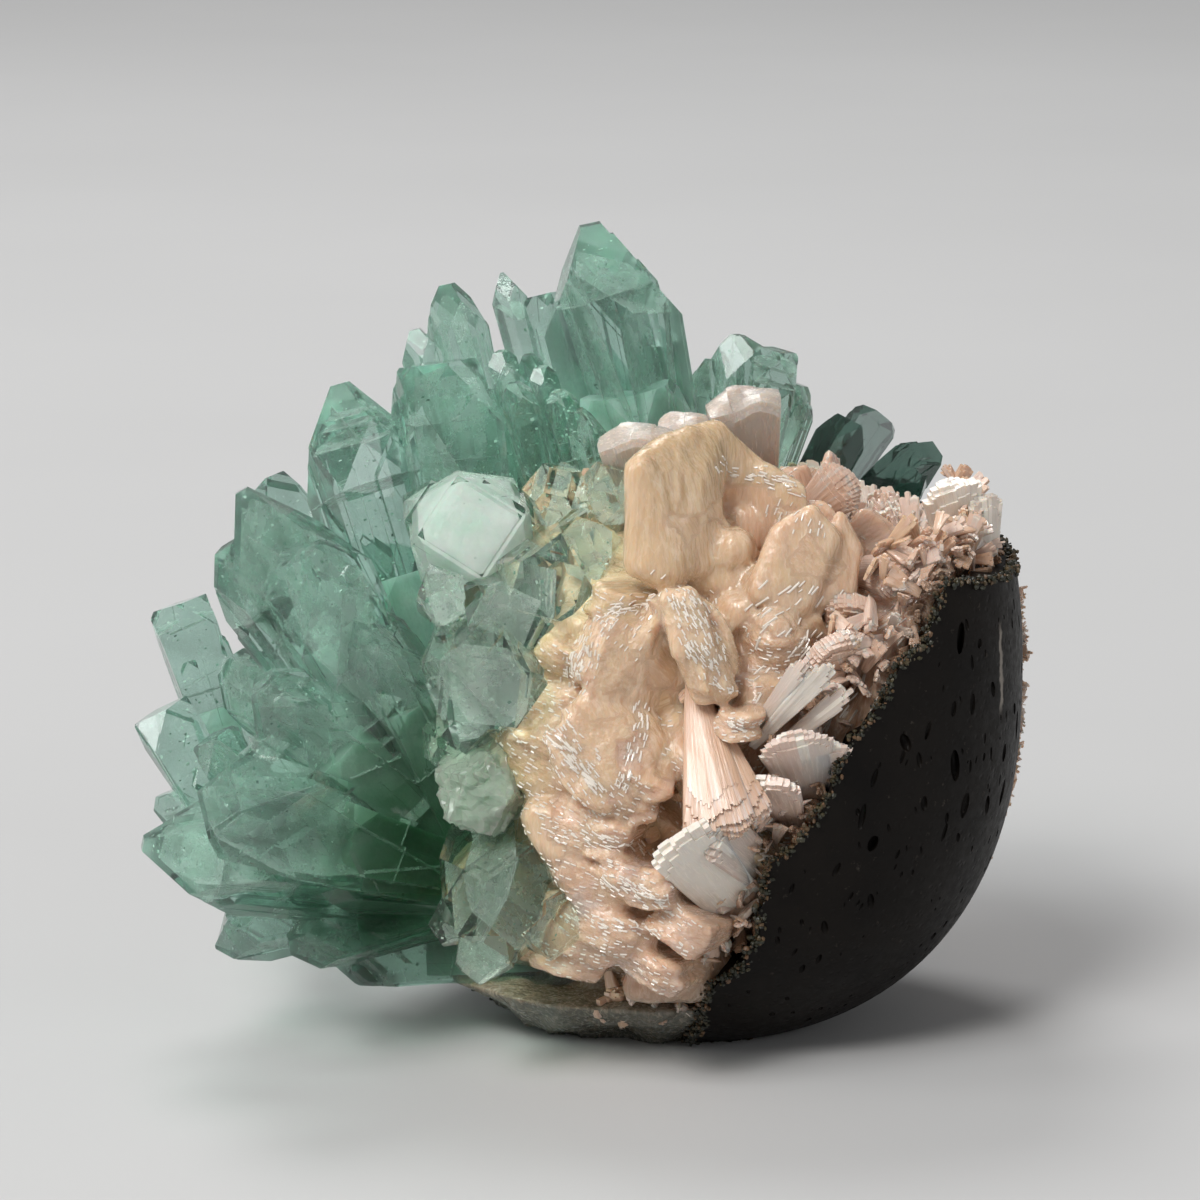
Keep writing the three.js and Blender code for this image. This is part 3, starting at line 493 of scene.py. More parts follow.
class Nodes:
    """A new material and short ways to add nodes to it."""

    def __init__(self, name):
        self.material = bpy.data.materials.new(name)
        self.material.use_nodes = True
        self.tree = self.material.node_tree
        self.tree.nodes.clear()
        self.output = self.tree.nodes.new("ShaderNodeOutputMaterial")
        self.place = self.tree.nodes.new("ShaderNodeTexCoord").outputs["Object"]

    def link(self, source, target):
        self.tree.links.new(source, target)

    def add(self, kind, **values):
        node = self.tree.nodes.new(kind)
        for name, value in values.items():
            if hasattr(value, "is_output"):
                self.link(value, node.inputs[name])
            elif name in node.inputs:
                node.inputs[name].default_value = value
            else:
                setattr(node, name, value)
        return node

    def attribute(self, name, output="Fac"):
        return self.add("ShaderNodeAttribute", attribute_name=name).outputs[output]

    def noise(self, scale, detail=4.0, roughness=0.55, vector=None):
        node = self.add("ShaderNodeTexNoise", Scale=scale, Detail=detail, Roughness=roughness,
                        Vector=vector or self.place)
        return node.outputs["Fac"]

    def ramp(self, fac, stops):
        """A colour ramp from (position, colour) stops."""
        node = self.add("ShaderNodeValToRGB", Fac=fac)
        elements = node.color_ramp.elements
        while len(elements) < len(stops):
            elements.new(0.5)
        for element, (position, colour) in zip(elements, stops):
            element.position = position
            element.color = colour if isinstance(colour, tuple) else (colour,) * 3 + (1.0,)
        return node.outputs["Color"]

    def feed(self, node, values):
        """Links or sets the inputs of a node by their numbers."""
        for index, value in values.items():
            if hasattr(value, "is_output"):
                self.link(value, node.inputs[index])
            else:
                node.inputs[index].default_value = value

    def mix(self, fac, first, second):
        node = self.add("ShaderNodeMix", data_type="RGBA")
        self.feed(node, {0: fac, 6: first, 7: second})
        return node.outputs[2]

    def math(self, operation, *values):
        node = self.add("ShaderNodeMath", operation=operation)
        self.feed(node, dict(enumerate(values)))
        return node.outputs[0]

    def stretched(self, vector, scale):
        """Coordinates scaled by axis, so that patterns run long or short."""
        return self.add("ShaderNodeMapping", Vector=vector, Scale=scale).outputs["Vector"]

    def bump(self, height, strength, distance):
        node = self.add("ShaderNodeBump", Height=height, Strength=strength, Distance=distance)
        return node.outputs["Normal"]

    def principled(self, **values):
        return self.add("ShaderNodeBsdfPrincipled", **{
            name.replace("_", " "): value for name, value in values.items()})

    def finish(self, shader):
        self.link(shader, self.output.inputs["Surface"])
        return self.material


def root_share(nodes, near, far):
    """1 at the deep green root of the fan, 0 beyond `far` mm from it."""
    away = nodes.add("ShaderNodeVectorMath", operation="DISTANCE")
    nodes.feed(away, {0: nodes.place, 1: tuple((Vector(GREEN_ROOT) + SHIFT) * MM)})
    return nodes.ramp(nodes.math("MULTIPLY", away.outputs["Value"], 25.0),
                      [(near / 40, 1.0), (far / 40, 0.0)])


def glass_material(name, tint, absorb, density, clearness, shadow, wavy, roughness=0.03,
                   root=0.0):
    """Apophyllite, with `tint` for its milky share and `absorb` and `density` for its depth.

    `shadow` is the tint of its shadow, `root` is how green it gets near the root of the fan.
    """
    nodes = Nodes(name)
    cloud = nodes.noise(160.0, detail=5.0)
    fine = nodes.noise(1400.0, detail=3.0)
    dark = tuple(0.7 * value for value in tint)
    colour = nodes.mix(nodes.ramp(cloud, [(0.35, 0.0), (0.68, 1.0)]), rgb(*dark), rgb(*tint))
    if root:
        deep = nodes.math("MULTIPLY", root_share(nodes, 2.0, 24.0), root)
        colour = nodes.mix(deep, colour, rgb(0.02, 0.26, 0.06))
    surface = nodes.ramp(fine, [(0.3, 0.4 * roughness), (0.75, 2.0 * roughness)])
    waves = nodes.noise(600.0, detail=4.0, roughness=0.5)
    shader = nodes.principled(
        Base_Color=colour, Roughness=surface, IOR=APOPHYLLITE_INDEX,
        Transmission_Weight=clearness,
        Subsurface_Weight=1.0, Subsurface_Radius=(0.6, 1.0, 0.8), Subsurface_Scale=0.004,
        Normal=nodes.bump(waves, wavy, 0.0001))
    lit = nodes.add("ShaderNodeBsdfTransparent", Color=rgb(*shadow))
    path = nodes.add("ShaderNodeLightPath")
    mixed = nodes.add("ShaderNodeMixShader")
    nodes.feed(mixed, {0: path.outputs["Is Shadow Ray"], 1: shader.outputs[0],
                       2: lit.outputs[0]})
    volume = nodes.add("ShaderNodeVolumeAbsorption", Color=rgb(*absorb), Density=density)
    nodes.link(volume.outputs[0], nodes.output.inputs["Volume"])
    return nodes.finish(mixed.outputs[0])


def milk_material(name, thin, dense, clearness=0.45):
    """The cloudy inner part of the crystals, with denser patches and a deep green root."""
    nodes = Nodes(name)
    cloud = nodes.noise(220.0, detail=6.0, roughness=0.65)
    colour = nodes.mix(nodes.ramp(cloud, [(0.35, 0.0), (0.65, 1.0)]),
                       rgb(*thin), rgb(*dense))
    waves = nodes.noise(500.0, detail=5.0, roughness=0.65)
    deep = root_share(nodes, 3.0, 26.0)
    colour = nodes.mix(deep, colour, rgb(0.03, 0.17, 0.05))
    shader = nodes.principled(
        Base_Color=colour, Roughness=nodes.ramp(waves, [(0.3, 0.25), (0.7, 0.6)]), IOR=1.4,
        Transmission_Weight=clearness, Subsurface_Weight=1.0, Subsurface_Radius=(0.7, 1.0, 0.85),
        Subsurface_Scale=0.003, Normal=nodes.bump(waves, 0.8, 0.0004))
    return nodes.finish(shader.outputs[0])


def veil_material():
    """Healed cracks: thin layers that are frosted in patches and clear between them."""
    nodes = Nodes("veils")
    patches = nodes.noise(380.0, detail=6.0, roughness=0.7)
    shader = nodes.principled(
        Base_Color=nodes.ramp(patches, [(0.4, rgb(0.82, 0.92, 0.86)), (0.7, rgb(1, 1, 1))]),
        Roughness=nodes.ramp(patches, [(0.45, 0.0), (0.62, 0.5)]), IOR=1.3,
        Transmission_Weight=0.78)
    return nodes.finish(shader.outputs[0])


def fleck_material():
    nodes = Nodes("flecks")
    tone = nodes.attribute("tone")
    colour = nodes.ramp(tone, [(0.0, rgb(0.03, 0.07, 0.055)), (0.3, rgb(0.25, 0.42, 0.34)),
                               (0.6, rgb(0.75, 0.88, 0.80)), (1.0, rgb(0.95, 0.97, 0.95))])
    fine = nodes.noise(3000.0)
    shader = nodes.principled(Base_Color=colour, IOR=1.6,
                              Roughness=nodes.ramp(fine, [(0.3, 0.08), (0.7, 0.3)]))
    return nodes.finish(shader.outputs[0])


# ---- Stilbite ------------------------------------------------------------------------------


def scramble(*cells):
    """A repeatable number from 0 to 1 for each whole-numbered cell, as an array."""
    total = sum(cell * factor for cell, factor in zip(cells, (127.1, 311.7, 74.7)))
    return np.modf(np.abs(np.sin(total) * 43758.5453))[0]


class Sheaves:
    """Collects sheaves, each one closed fan of fused thin blades, into one mesh."""

    def __init__(self):
        self.points, self.faces, self.tones, self.fibres, self.stains = [], [], [], [], []
        self.count = 0

    def grid(self, points, tones, fibres, stain):
        rows, columns = points.shape[:2]
        index = np.arange(rows * columns).reshape(rows, columns) + self.count
        corners = (index[:-1, :-1], index[:-1, 1:], index[1:, 1:], index[1:, :-1])
        self.faces += np.stack(corners, axis=-1).reshape(-1, 4).tolist()
        self.points.append(points.reshape(-1, 3))
        self.tones.append(tones.reshape(-1))
        self.fibres.append(fibres.reshape(-1, 3))
        self.stains.append(np.full(rows * columns, stain))
        self.count += rows * columns

    def add(self, root, tip, face, width, thick, strips=12, sheets=12, jag=0.25, ledge=1.0,
            arc=ARC, dome=0.35, foot=0.4, curl=0.0, bend=0.0, corner=0.3, tone=0.4,
            glint=0.25, stain=0.0, seed=0):
        """`strips` blades side by side in each of `sheets` through the depth.

        Blade ends differ by up to `jag` mm and end flat by the share `ledge`. `arc` and `dome`
        are how far the end falls back at its sides and through its depth, as parts of the
        length. `foot` is the width at the root, `corner` rounds the edges, `curl` and `bend`
        turn the broad face, and `glint` lightens some blade ends as a painted highlight.
        """
        start = np.array(root, float)
        along = np.array(tip, float) - start
        length = np.linalg.norm(along)
        along /= length
        face = np.array(face, float)
        face -= along * face.dot(along)
        face /= np.linalg.norm(face)
        side = np.cross(along, face)

        strip = np.repeat(np.arange(strips), 3)
        sides = np.arange(strips + 1.0)
        sides[1:-1] += 0.6 * (scramble(np.arange(1.0, strips), seed, 3) - 0.5)
        across = sides[strip] + np.tile((0.03, 0.5, 0.97), strips) * np.diff(sides)[strip]
        middle = across[1::3][strip] / strips * 2 - 1
        across = across / strips * 2 - 1
        across = across / abs(across).max()
        peak = np.tile((0.0, 1.0, 0.0), strips)
        sheet = np.repeat(np.arange(sheets), 2)
        deep = (sheet + np.tile((0.06, 0.94), sheets)) / sheets * 2 - 1
        layer = (sheet + 0.5) / sheets * 2 - 1
        deep = np.sin(deep * math.pi / 2)
        layer = np.sin(layer * math.pi / 2)
        deep = deep / abs(deep[0])

        def reach(u, u_mid, i, top, w, w_mid, k):
            u = u + (u_mid - u) * ledge
            w = w + (w_mid - w) * ledge
            fall = arc * np.abs(u) ** 2.6 + dome * np.abs(w) ** 4
            fall = fall + 0.03 * np.sin(3.7 * u + 2.1 * w + seed)
            uneven = scramble(i + 13 * seed, k, 0 * k + seed) * (0.5 + 2.5 * np.abs(w_mid) ** 4)
            uneven = uneven + 0.8 * scramble(i + 29 * seed, 0 * k + 2, 0 * k + seed)
            return length * (1 - fall) - jag * uneven + 0.35 * jag * top

        def place(u, w, r, i, k):
            share = r / length
            wide = 0.5 * width * (foot + (1 - foot) * share ** 0.9)
            depth = 0.5 * thick * np.minimum(1, 6 * share) * (0.5 + 0.5 * share ** 0.8)
            x = u * np.sqrt(1 - corner * w ** 2)
            broken = (scramble(i + 11 * seed, 0 * i + 6, 0 * i) - 0.5) * (1 - w ** 2)
            y = (w + 1.3 / sheets * broken) * np.sqrt(1 - corner * u ** 2)
            y = y + 0.03 * (scramble(i + 7 * seed, 0 * i + 3, 0 * i) - 0.5) * np.sign(w)
            x = x + 0.02 * (scramble(k + 5 * seed, 0 * k + 9, 0 * k) - 0.5) * np.sign(u)
            swell = 0.07 * thick * np.sin(2.6 * u + 2.9 * share + seed)
            y_mm = y * depth + curl * width * u ** 2 + bend * share ** 2 + swell * share
            points = (start + (x * wide)[..., None] * side + y_mm[..., None] * face
                      + r[..., None] * along)
            fibres = np.stack([u * width / 2 + 10 * seed, w * thick / 2, r + 0 * u], axis=-1)
            return points, fibres

        def tones(share, i, k):
            shade = 0.05 * (scramble(k + 3 * seed, i // 3, 0 * i + 1) - 0.5)
            # painted highlight: some blade ends near the tip are made lighter, standing for
            # glints
            bright = glint * (scramble(i + seed, k + 2 * seed, 0 * i + 4) > 0.8)
            return tone + shade + bright * np.clip((share - 0.55) / 0.2, 0, 1)

        def lay(u, w, r, i, k):
            points, fibres = place(u, w, r, i, k)
            self.grid(points, tones(r / length, i, k), fibres, stain)

        def spread(rows, columns):
            return np.broadcast_arrays(rows[:, None], columns[None, :])

        # the end, then the two broad faces, then the two edges
        w, u = spread(deep, across)
        w_mid, u_mid = spread(layer, middle)
        k, i = spread(sheet, strip)
        _, top = spread(deep, peak)
        ends = reach(u, u_mid, i, top, w, w_mid, k)
        lay(u, w, ends, i, k)
        steps = np.array([0.0, 0.15, 0.35, 0.6, 0.8, 1.0])
        for row in (0, -1):
            part, u = spread(steps, across)
            i = np.broadcast_arrays(steps[:, None], strip[None, :])[1]
            k = np.full(u.shape, sheet[row])
            w = np.full(u.shape, deep[row])
            lay(u, w, part * ends[row][None, :], i, k)
        for column in (0, -1):
            part, w = spread(steps, deep)
            k = np.broadcast_arrays(steps[:, None], sheet[None, :])[1]
            i = np.full(w.shape, strip[column])
            u = np.full(w.shape, across[column])
            lay(u, w, part * ends[:, column][None, :], i, k)

    def mesh(self, name):
        points = np.concatenate(self.points)
        points[:, 2] = np.maximum(points[:, 2], ground_level(points[:, 0]))
        mesh = bpy.data.meshes.new(name)
        mesh.from_pydata(points.tolist(), [], self.faces)
        paint(mesh, "tone", np.concatenate(self.tones))
        paint(mesh, "stain", np.concatenate(self.stains))
        paint_vectors(mesh, "fibre", np.concatenate(self.fibres).reshape(-1))
        bm = bmesh.new()
        bm.from_mesh(mesh)
        bmesh.ops.remove_doubles(bm, verts=bm.verts, dist=1e-4)
        bmesh.ops.recalc_face_normals(bm, faces=bm.faces)
        bm.to_mesh(mesh)
        bm.free()
        return mesh


SHEAF_KEYS = ("root", "tip", "face", "width", "thick", "tone")
FUSED_KEYS = (*SHEAF_KEYS, "foot", "arc", "glint", "curl")
PALE_KEYS = (*SHEAF_KEYS, "strips", "sheets", "jag", "dome", "foot", "arc", "corner", "ledge",
             "glint")


def table(keys, rows):
    """What Sheaves.add() is given for each row; a row may leave out its last values."""
    return [dict(zip(keys, row)) for row in rows]


# sheaves that are grown together in the skin
FUSED = table(FUSED_KEYS, [
    # the central sheaves
    ((12.4, -10, 43.9), (11.3, -30, 51.2), (-0.84, 0, -0.54), 13, 4.6, 0.24, 0.55, 0.1, 0.25,
     0.09),
    ((9.9, -12, 43.4), (-2.6, -27, 48.5), (0.69, -0.62, -0.2), 8.5, 5, 0.28, 0.6, 0.08),
    ((12.6, -15, 40.5), (4.3, -26, 52.7), (0.15, -1, 0.35), 9.5, 5, 0.26, 0.5, 0.2, 0.05),
    ((7.8, -16, 52.3), (-0.4, -25, 53.4), (0, -0.3, 1), 6.5, 3, 0.08),
    ((1.1, -14, 47.0), (-5.6, -24, 47.2), (-0.3, -0.8, 0.5), 7, 3.5, 0.04),
    ((0.0, -14, 42.5), (-4.7, -24, 42.6), (-0.3, -0.8, 0.5), 6, 3.5, 0.12),
    ((7.5, -13, 40.0), (-3.6, -30, 35.4), (0.53, -0.63, 0.55), 12, 6, 0.3, 0.45, 0.1),
    ((7.9, -14, 40.3), (3.6, -31, 31.9), (0.35, -0.75, 0.5), 7, 4.5, 0.34, 0.5, 0.1),
    ((12.3, -16, 40.7), (9.0, -27, 34.7), (0.1, -1, 0.25), 7, 4.5, 0.22, 0.6, 0.15),
    ((20.8, -12, 51.1), (18.5, -25, 46.8), (-0.1, -1, 0.2), 8.5, 5.5, 0.42, 0.6, 0.22, 0.05),
    ((15.3, -14, 45.9), (17.6, -26, 42.4), (0.2, -1, 0.2), 8, 5, 0.36, 0.5),
    ((16.1, -18, 41.2), (14.7, -31, 40.9), (0, -0.2, 1), 6, 3, 0.46),
    # plates below
    ((7.0, -15, 27.8), (-1.5, -30, 28.8), (0.1, -0.45, 0.9), 9.5, 4.2, 0.34, 0.5, 0.12),
    ((0.0, -13, 28.7), (-6.1, -25, 28.8), (-0.2, -0.5, 0.9), 8.5, 4, 0.2, 0.5),
    ((9.2, -17, 22.2), (3.0, -32.5, 23.9), (0.1, -0.4, 1), 9.5, 4, 0.38, 0.5, 0.12, 0.25, 0.08),
    ((4.4, -16, 22.6), (-3.7, -29, 23.8), (-0.1, -0.5, 0.9), 8.5, 4, 0.4, 0.5, 0.15),
    ((13.1, -20, 16.9), (6.9, -33, 19.8), (0.1, -0.6, 0.8), 9, 4, 0.5, 0.5, 0.15),
    ((5.5, -16, 15.8), (-0.4, -31, 18.8), (0, -0.6, 0.8), 9.5, 4, 0.44, 0.5, 0.15),
    ((0.0, -12, 11.2), (-4.3, -28.5, 14.8), (0, -0.6, 0.8), 9, 4, 0.4, 0.5, 0.15),
    ((9.9, -18, 11.8), (4.3, -31, 14.6), (0, -0.7, 0.7), 9, 3.6, 0.48, 0.5, 0.15),
    # honey-coloured sheaves beside the clear crystals
    ((0.0, -8, 32.9), (-8.6, -24, 35.7), (-0.3, -0.9, 0.5), 11, 5.5, 0.06, 0.6, 0.2, 0.05),
    ((-2.2, -12, 37.5), (-8.2, -25, 39.9), (-0.2, -0.8, 0.7), 7.5, 4, 0.1, 0.6),
    ((-1.1, -12, 29.6), (-8.2, -24, 30.8), (-0.3, -0.8, 0.7), 8.5, 4.5, 0.1, 0.6),
])
# pale blocks behind the cup
BLOCKS = table(PALE_KEYS, [
    ((16.4, -3, 62.7), (15.6, -8, 73.3), (0.1, -1, 0.2), 8.5, 5, 0.88, 4, 5, 0.06, 0.12, 0.8,
     0.1, 0.15, 0.2, 0.0),
    ((5.7, -8, 61.4), (3.7, -12, 70.0), (-0.3, -1, 0.3), 8.5, 4.5, 0.88, 4, 5, 0.06, 0.12, 0.8,
     0.12, 0.15, 0.2, 0.0),
    ((10.0, -4, 64.1), (9.2, -9, 70.6), (-0.1, -1, 0.3), 6, 4, 0.85, 4, 5, 0.06, 0.12, 0.8, 0.12,
     0.15, 0.2, 0.0),
])
# pale sheaves and plates that stand alone
PALE = table(PALE_KEYS, [
    # the column that spreads downward
    ((10.1, -24, 45.2), (13.0, -33, 29.5), (0, -1, 0.2), 8.5, 4.2, 0.54, 26, 8, 0.28, 0.2, 0.22,
     0.12),
    ((11.2, -25, 42.8), (16.2, -32, 30.6), (0.3, -1, 0.2), 6, 3.5, 0.56, 18, 7, 0.28, 0.2, 0.22,
     0.12),
    # long blades and plates at the right
    ((16.3, -27, 38.0), (24.5, -31, 48.1), (0.2, -1, 0.1), 3.2, 0.9, 0.95, 7, 3, 0.22, 0.05,
     0.3),
    ((15.9, -26, 38.8), (21.9, -31, 48.6), (-0.4, -1, 0.1), 2.4, 0.8, 0.85, 5, 3, 0.22, 0.05),
    ((17.5, -26, 36.4), (26.7, -29, 44.8), (0.4, -1, 0.5), 2.6, 0.8, 0.8, 5, 3, 0.22, 0.05),
    ((23.0, -23, 31.2), (20.5, -31, 40.3), (-0.1, -1, 0.25), 9, 1.6, 0.78, 13, 4, 0.1, 0.1, 0.5),
    ((21.7, -22, 29.8), (24.6, -29, 39.1), (0.3, -1, 0.25), 7, 1.6, 0.7, 11, 4, 0.1, 0.1, 0.5),
    ((20.7, -22, 27.6), (18.0, -31, 35.4), (-0.3, -1, 0.35), 7, 1.8, 0.72, 11, 4, 0.1, 0.1, 0.5),
    ((25.1, -16, 47.4), (27.6, -21, 53.0), (0.3, -1, 0.25), 6.5, 3.2, 0.6, 14, 8, 0.09, 0.2),
    ((26.8, -18, 42.3), (24.9, -26, 49.6), (0.1, -1, 0.3), 7.5, 3.2, 0.62, 16, 8, 0.09, 0.2),
    ((27.4, -12, 54.4), (33.1, -19, 55.2), (0, -0.8, 0.6), 6.5, 3.2, 0.66, 16, 8, 0.09, 0.2),
    ((22.0, -8, 59.2), (27.2, -13, 64.9), (0.1, -1, 0.4), 7, 3.2, 0.62, 16, 8, 0.09, 0.2),
    ((40.1, -2, 55.2), (38.7, -5, 62.9), (0.2, -1, 0.2), 7.5, 3, 1.0, 11, 5, 0.1, 0.2, 0.7),
    ((42.8, -3, 53.7), (42.5, -4, 61.4), (0.4, -1, 0.2), 4.5, 2.5, 0.95, 9, 5, 0.1, 0.2, 0.7),
    # plates below
    ((15.0, -24, 19.7), (8.3, -34.5, 30.2), (-0.15, -1, 0.3), 8.6, 1.8, 1.0, 9, 4, 0.08, 0.1,
     0.7, 0.16, 0.1),
    ((17.4, -24, 23.6), (12.4, -32.5, 30.3), (0.1, -1, 0.4), 6.5, 2, 0.85, 9, 4, 0.07, 0.1, 0.7,
     0.16),
])


# smooth lobes, each with its tone and the balls (x, y, z, radius) that it is stretched over
LOBES = [
    # the cup: its left wall, its back, its floor and the leaf-like lobes at its right
    (0.12, [(4.3, -22, 67.4, 1.8), (7.3, -19, 69.3, 1.8), (12.4, -15, 70.1, 1.6),
            (4.5, -23, 57.5, 1.9), (6.7, -23, 56.5, 2.1), (10.8, -20, 57.2, 2.0),
            (9.7, -19, 65.8, 2.2)]),
    (0.12, [(12.4, -15, 70.1, 1.5), (16.1, -13, 66.6, 1.3), (10.9, -13, 58.0, 1.5),
            (15.9, -12.5, 57.9, 1.5)]),
    (0.18, [(16.1, -13, 66.6, 1.3), (21.4, -15, 63.7, 1.2), (15.9, -12, 57.2, 1.5),
            (21.8, -16, 56.3, 1.6)]),
    (0.16, [(9.7, -19, 55.3, 2.2), (18.4, -19, 54.2, 2.2), (14.1, -16, 56.3, 2)]),
    (0.3, [(22.9, -20, 62.5, 0.9), (19.2, -21, 60.5, 1.0), (17.2, -22, 54.3, 1.6),
           (21.6, -22, 53.0, 1.6), (25.0, -20, 59.4, 1.1)]),
    (0.4, [(26.0, -18, 61.5, 0.9), (27.4, -18, 57.6, 1.2), (26.5, -19, 53.4, 1.5),
           (23.3, -20, 52.8, 1.5)]),
    (0.22, [(14.6, -19, 58.3, 2.4), (12.1, -19, 56.7, 2.2)]),
    (0.36, [(18.9, -23, 50.1, 2.6), (20.7, -22, 47.7, 2.4), (17.3, -21, 47.4, 2.4)]),
    (0.3, [(15.1, -21, 51.6, 2.6), (17.3, -19, 52.3, 2.4), (13.2, -19, 52.5, 2)]),
    # the ridge that stands edge on, and the faces to the left of it
    (0.28, [(7.3, -28, 54.9, 1.0), (9.4, -29, 55.0, 1.2), (8.7, -30, 49.4, 1.2),
            (11.3, -30.5, 49.8, 1.2), (8.7, -18, 50.1, 1.5)]),
    (0.32, [(8.7, -30, 50.0, 1.2), (11.3, -30.5, 49.8, 1.2), (10.7, -28, 44.1, 1.2),
            (13.7, -28.5, 44.7, 1.2), (11.4, -18, 44.5, 1.5)]),
    (0.26, [(1.3, -26, 51.1, 1.2), (0.0, -26, 44.1, 1.5), (7.3, -22, 51.9, 1.5),
            (8.7, -22, 43.2, 1.5), (4.3, -24, 41.1, 1.5), (4.3, -25.5, 48.4, 2)]),
    (0.3, [(-4.1, -28, 39.3, 1.0), (-1.5, -27, 43.1, 1.2), (4.3, -24, 42.0, 1.5),
           (5.9, -26, 38.1, 1.2), (2.4, -29, 32.7, 1.2), (0.0, -29, 34.0, 1.0)]),
    (0.24, [(7.8, -22, 41.6, 1.8), (10.4, -22, 41.6, 1.8), (7.1, -26, 35.9, 1.5),
            (9.9, -26, 35.1, 1.5)]),
    (0.4, [(13.7, -28, 41.1, 1.3), (15.7, -28, 40.4, 1.3), (14.7, -24, 38.1, 1.5)]),
    # the flesh-coloured ground to the right of the ridge
    (0.42, [(17.2, -25, 42.8, 2.4), (21.6, -22, 43.2, 2.5), (18.4, -21, 46.9, 2.4),
            (15.1, -22, 45.4, 2.2)]),
    (0.5, [(25.0, -19, 47.0, 2.4), (27.2, -17, 51.0, 2.4), (23.0, -21, 41.9, 2.2)]),
    # honey-coloured lumps beside and below the clear crystals
    (0.06, [(-8.7, -22, 37.4, 2.0), (-4.3, -23, 39.5, 2.2), (-6.5, -23, 33.4, 2.2),
            (-2.4, -24, 32.6, 2)]),
    (0.04, [(0.0, -17, 52.7, 1.8), (3.3, -16, 53.6, 1.8), (4.3, -20, 52.5, 1.5)]),
    (0.1, [(-4.3, -20, 42.8, 2), (-6.0, -21, 40.5, 2)]),
    (0.2, [(-6.5, -25, 30.0, 2.2), (-1.1, -27, 28.7, 2.0), (-4.3, -26, 26.4, 2.2)]),
    (0.36, [(-2.7, -27, 23.9, 2.2), (2.4, -28, 23.1, 2.2), (0.0, -27, 18.8, 2.4)]),
    (0.42, [(-4.3, -26, 18.0, 2.4), (4.3, -28, 17.4, 2.4), (0.0, -27, 15.5, 2.2)]),
    (0.3, [(3.0, -25, 20.4, 2.2), (5.8, -26, 19.8, 2.2)]),
    (0.2, [(1.8, -27.7, 31.0, 1.7), (2.6, -24, 29.8, 2.2)]),
    # along the rim of the basalt
    (0.5, [(9.9, -21, 14.3, 2.4), (13.7, -21, 18.9, 2.6)]),
    (0.5, [(13.7, -21, 18.9, 2.6), (18.6, -21, 21.7, 2.4)]),
    (0.5, [(18.6, -21, 21.7, 2.4), (22.3, -21, 26.8, 2.6)]),
    (0.5, [(22.3, -21, 26.8, 2.4), (25.9, -21, 32.4, 2.4)]),
    (0.5, [(25.9, -21, 32.4, 2.4), (28.3, -20, 37.2, 2.4)]),
    (0.5, [(28.3, -20, 37.2, 2.4), (30.9, -20, 42.8, 2.4)]),
    (0.5, [(30.9, -20, 42.8, 2.4), (31.3, -18, 47.9, 2.4)]),
    (0.5, [(31.3, -18, 47.9, 2.4), (35.1, -16, 50.6, 2.4)]),
    (0.5, [(4.4, -23, 13.2, 2.2), (9.9, -21, 14.3, 2.4)]),
    (0.45, [(9.9, -21, 14.3, 2.4), (12.6, -19, 11.8, 2.6), (11.0, -20, 9.5, 2.2)]),
    (0.45, [(4.4, -22, 10.1, 2.0), (11.0, -20, 9.5, 2.2)]),
]


def on_ground(turn, tilt, change):
    """A point of the ground outline, from its angle round Z and its height angle."""
    def signed(value):
        return math.copysign(abs(value) ** (2 / GROUND_POWER), value)
    shape = (signed(math.cos(tilt)) * signed(math.cos(turn)),
             signed(math.cos(tilt)) * signed(math.sin(turn)), signed(math.sin(tilt)))
    return Vector([GROUND_CENTRE[axis] + (GROUND_RADII[axis] + change[axis]) * shape[axis]
                   for axis in range(3)])


def outline_value(place, inset=0.0):
    """Less than 1 inside the ground outline, and 1 on it."""
    return sum(abs((place[axis] - GROUND_CENTRE[axis]) / (GROUND_RADII[axis] - inset))
               ** GROUND_POWER for axis in range(3))


def outline_slope(place):
    """The way out of the ground outline."""
    parts = []
    for axis in range(3):
        part = (place[axis] - GROUND_CENTRE[axis]) / GROUND_RADII[axis]
        parts.append(math.copysign(abs(part) ** (GROUND_POWER - 1), part) / GROUND_RADII[axis])
    return parts


def ground_body(change, around=96, up=64):
    """The whole ground outline as a closed mesh, its radii changed by `change`."""
    bm = bmesh.new()
    rings = []
    for step in range(1, up):
        tilt = math.radians(-90 + 180 * step / up)
        rings.append([bm.verts.new(on_ground(2 * math.pi * turn / around, tilt, change))
                      for turn in range(around)])
    low = bm.verts.new(on_ground(0, -math.pi / 2, change))
    high = bm.verts.new(on_ground(0, math.pi / 2, change))
    for index in range(around):
        after = (index + 1) % around
        for lower, upper in zip(rings, rings[1:]):
            bm.faces.new((lower[index], lower[after], upper[after], upper[index]))
        bm.faces.new((low, rings[0][after], rings[0][index]))
        bm.faces.new((high, rings[-1][index], rings[-1][after]))
    bmesh.ops.recalc_face_normals(bm, faces=bm.faces)
    return bm_to_mesh(bm)


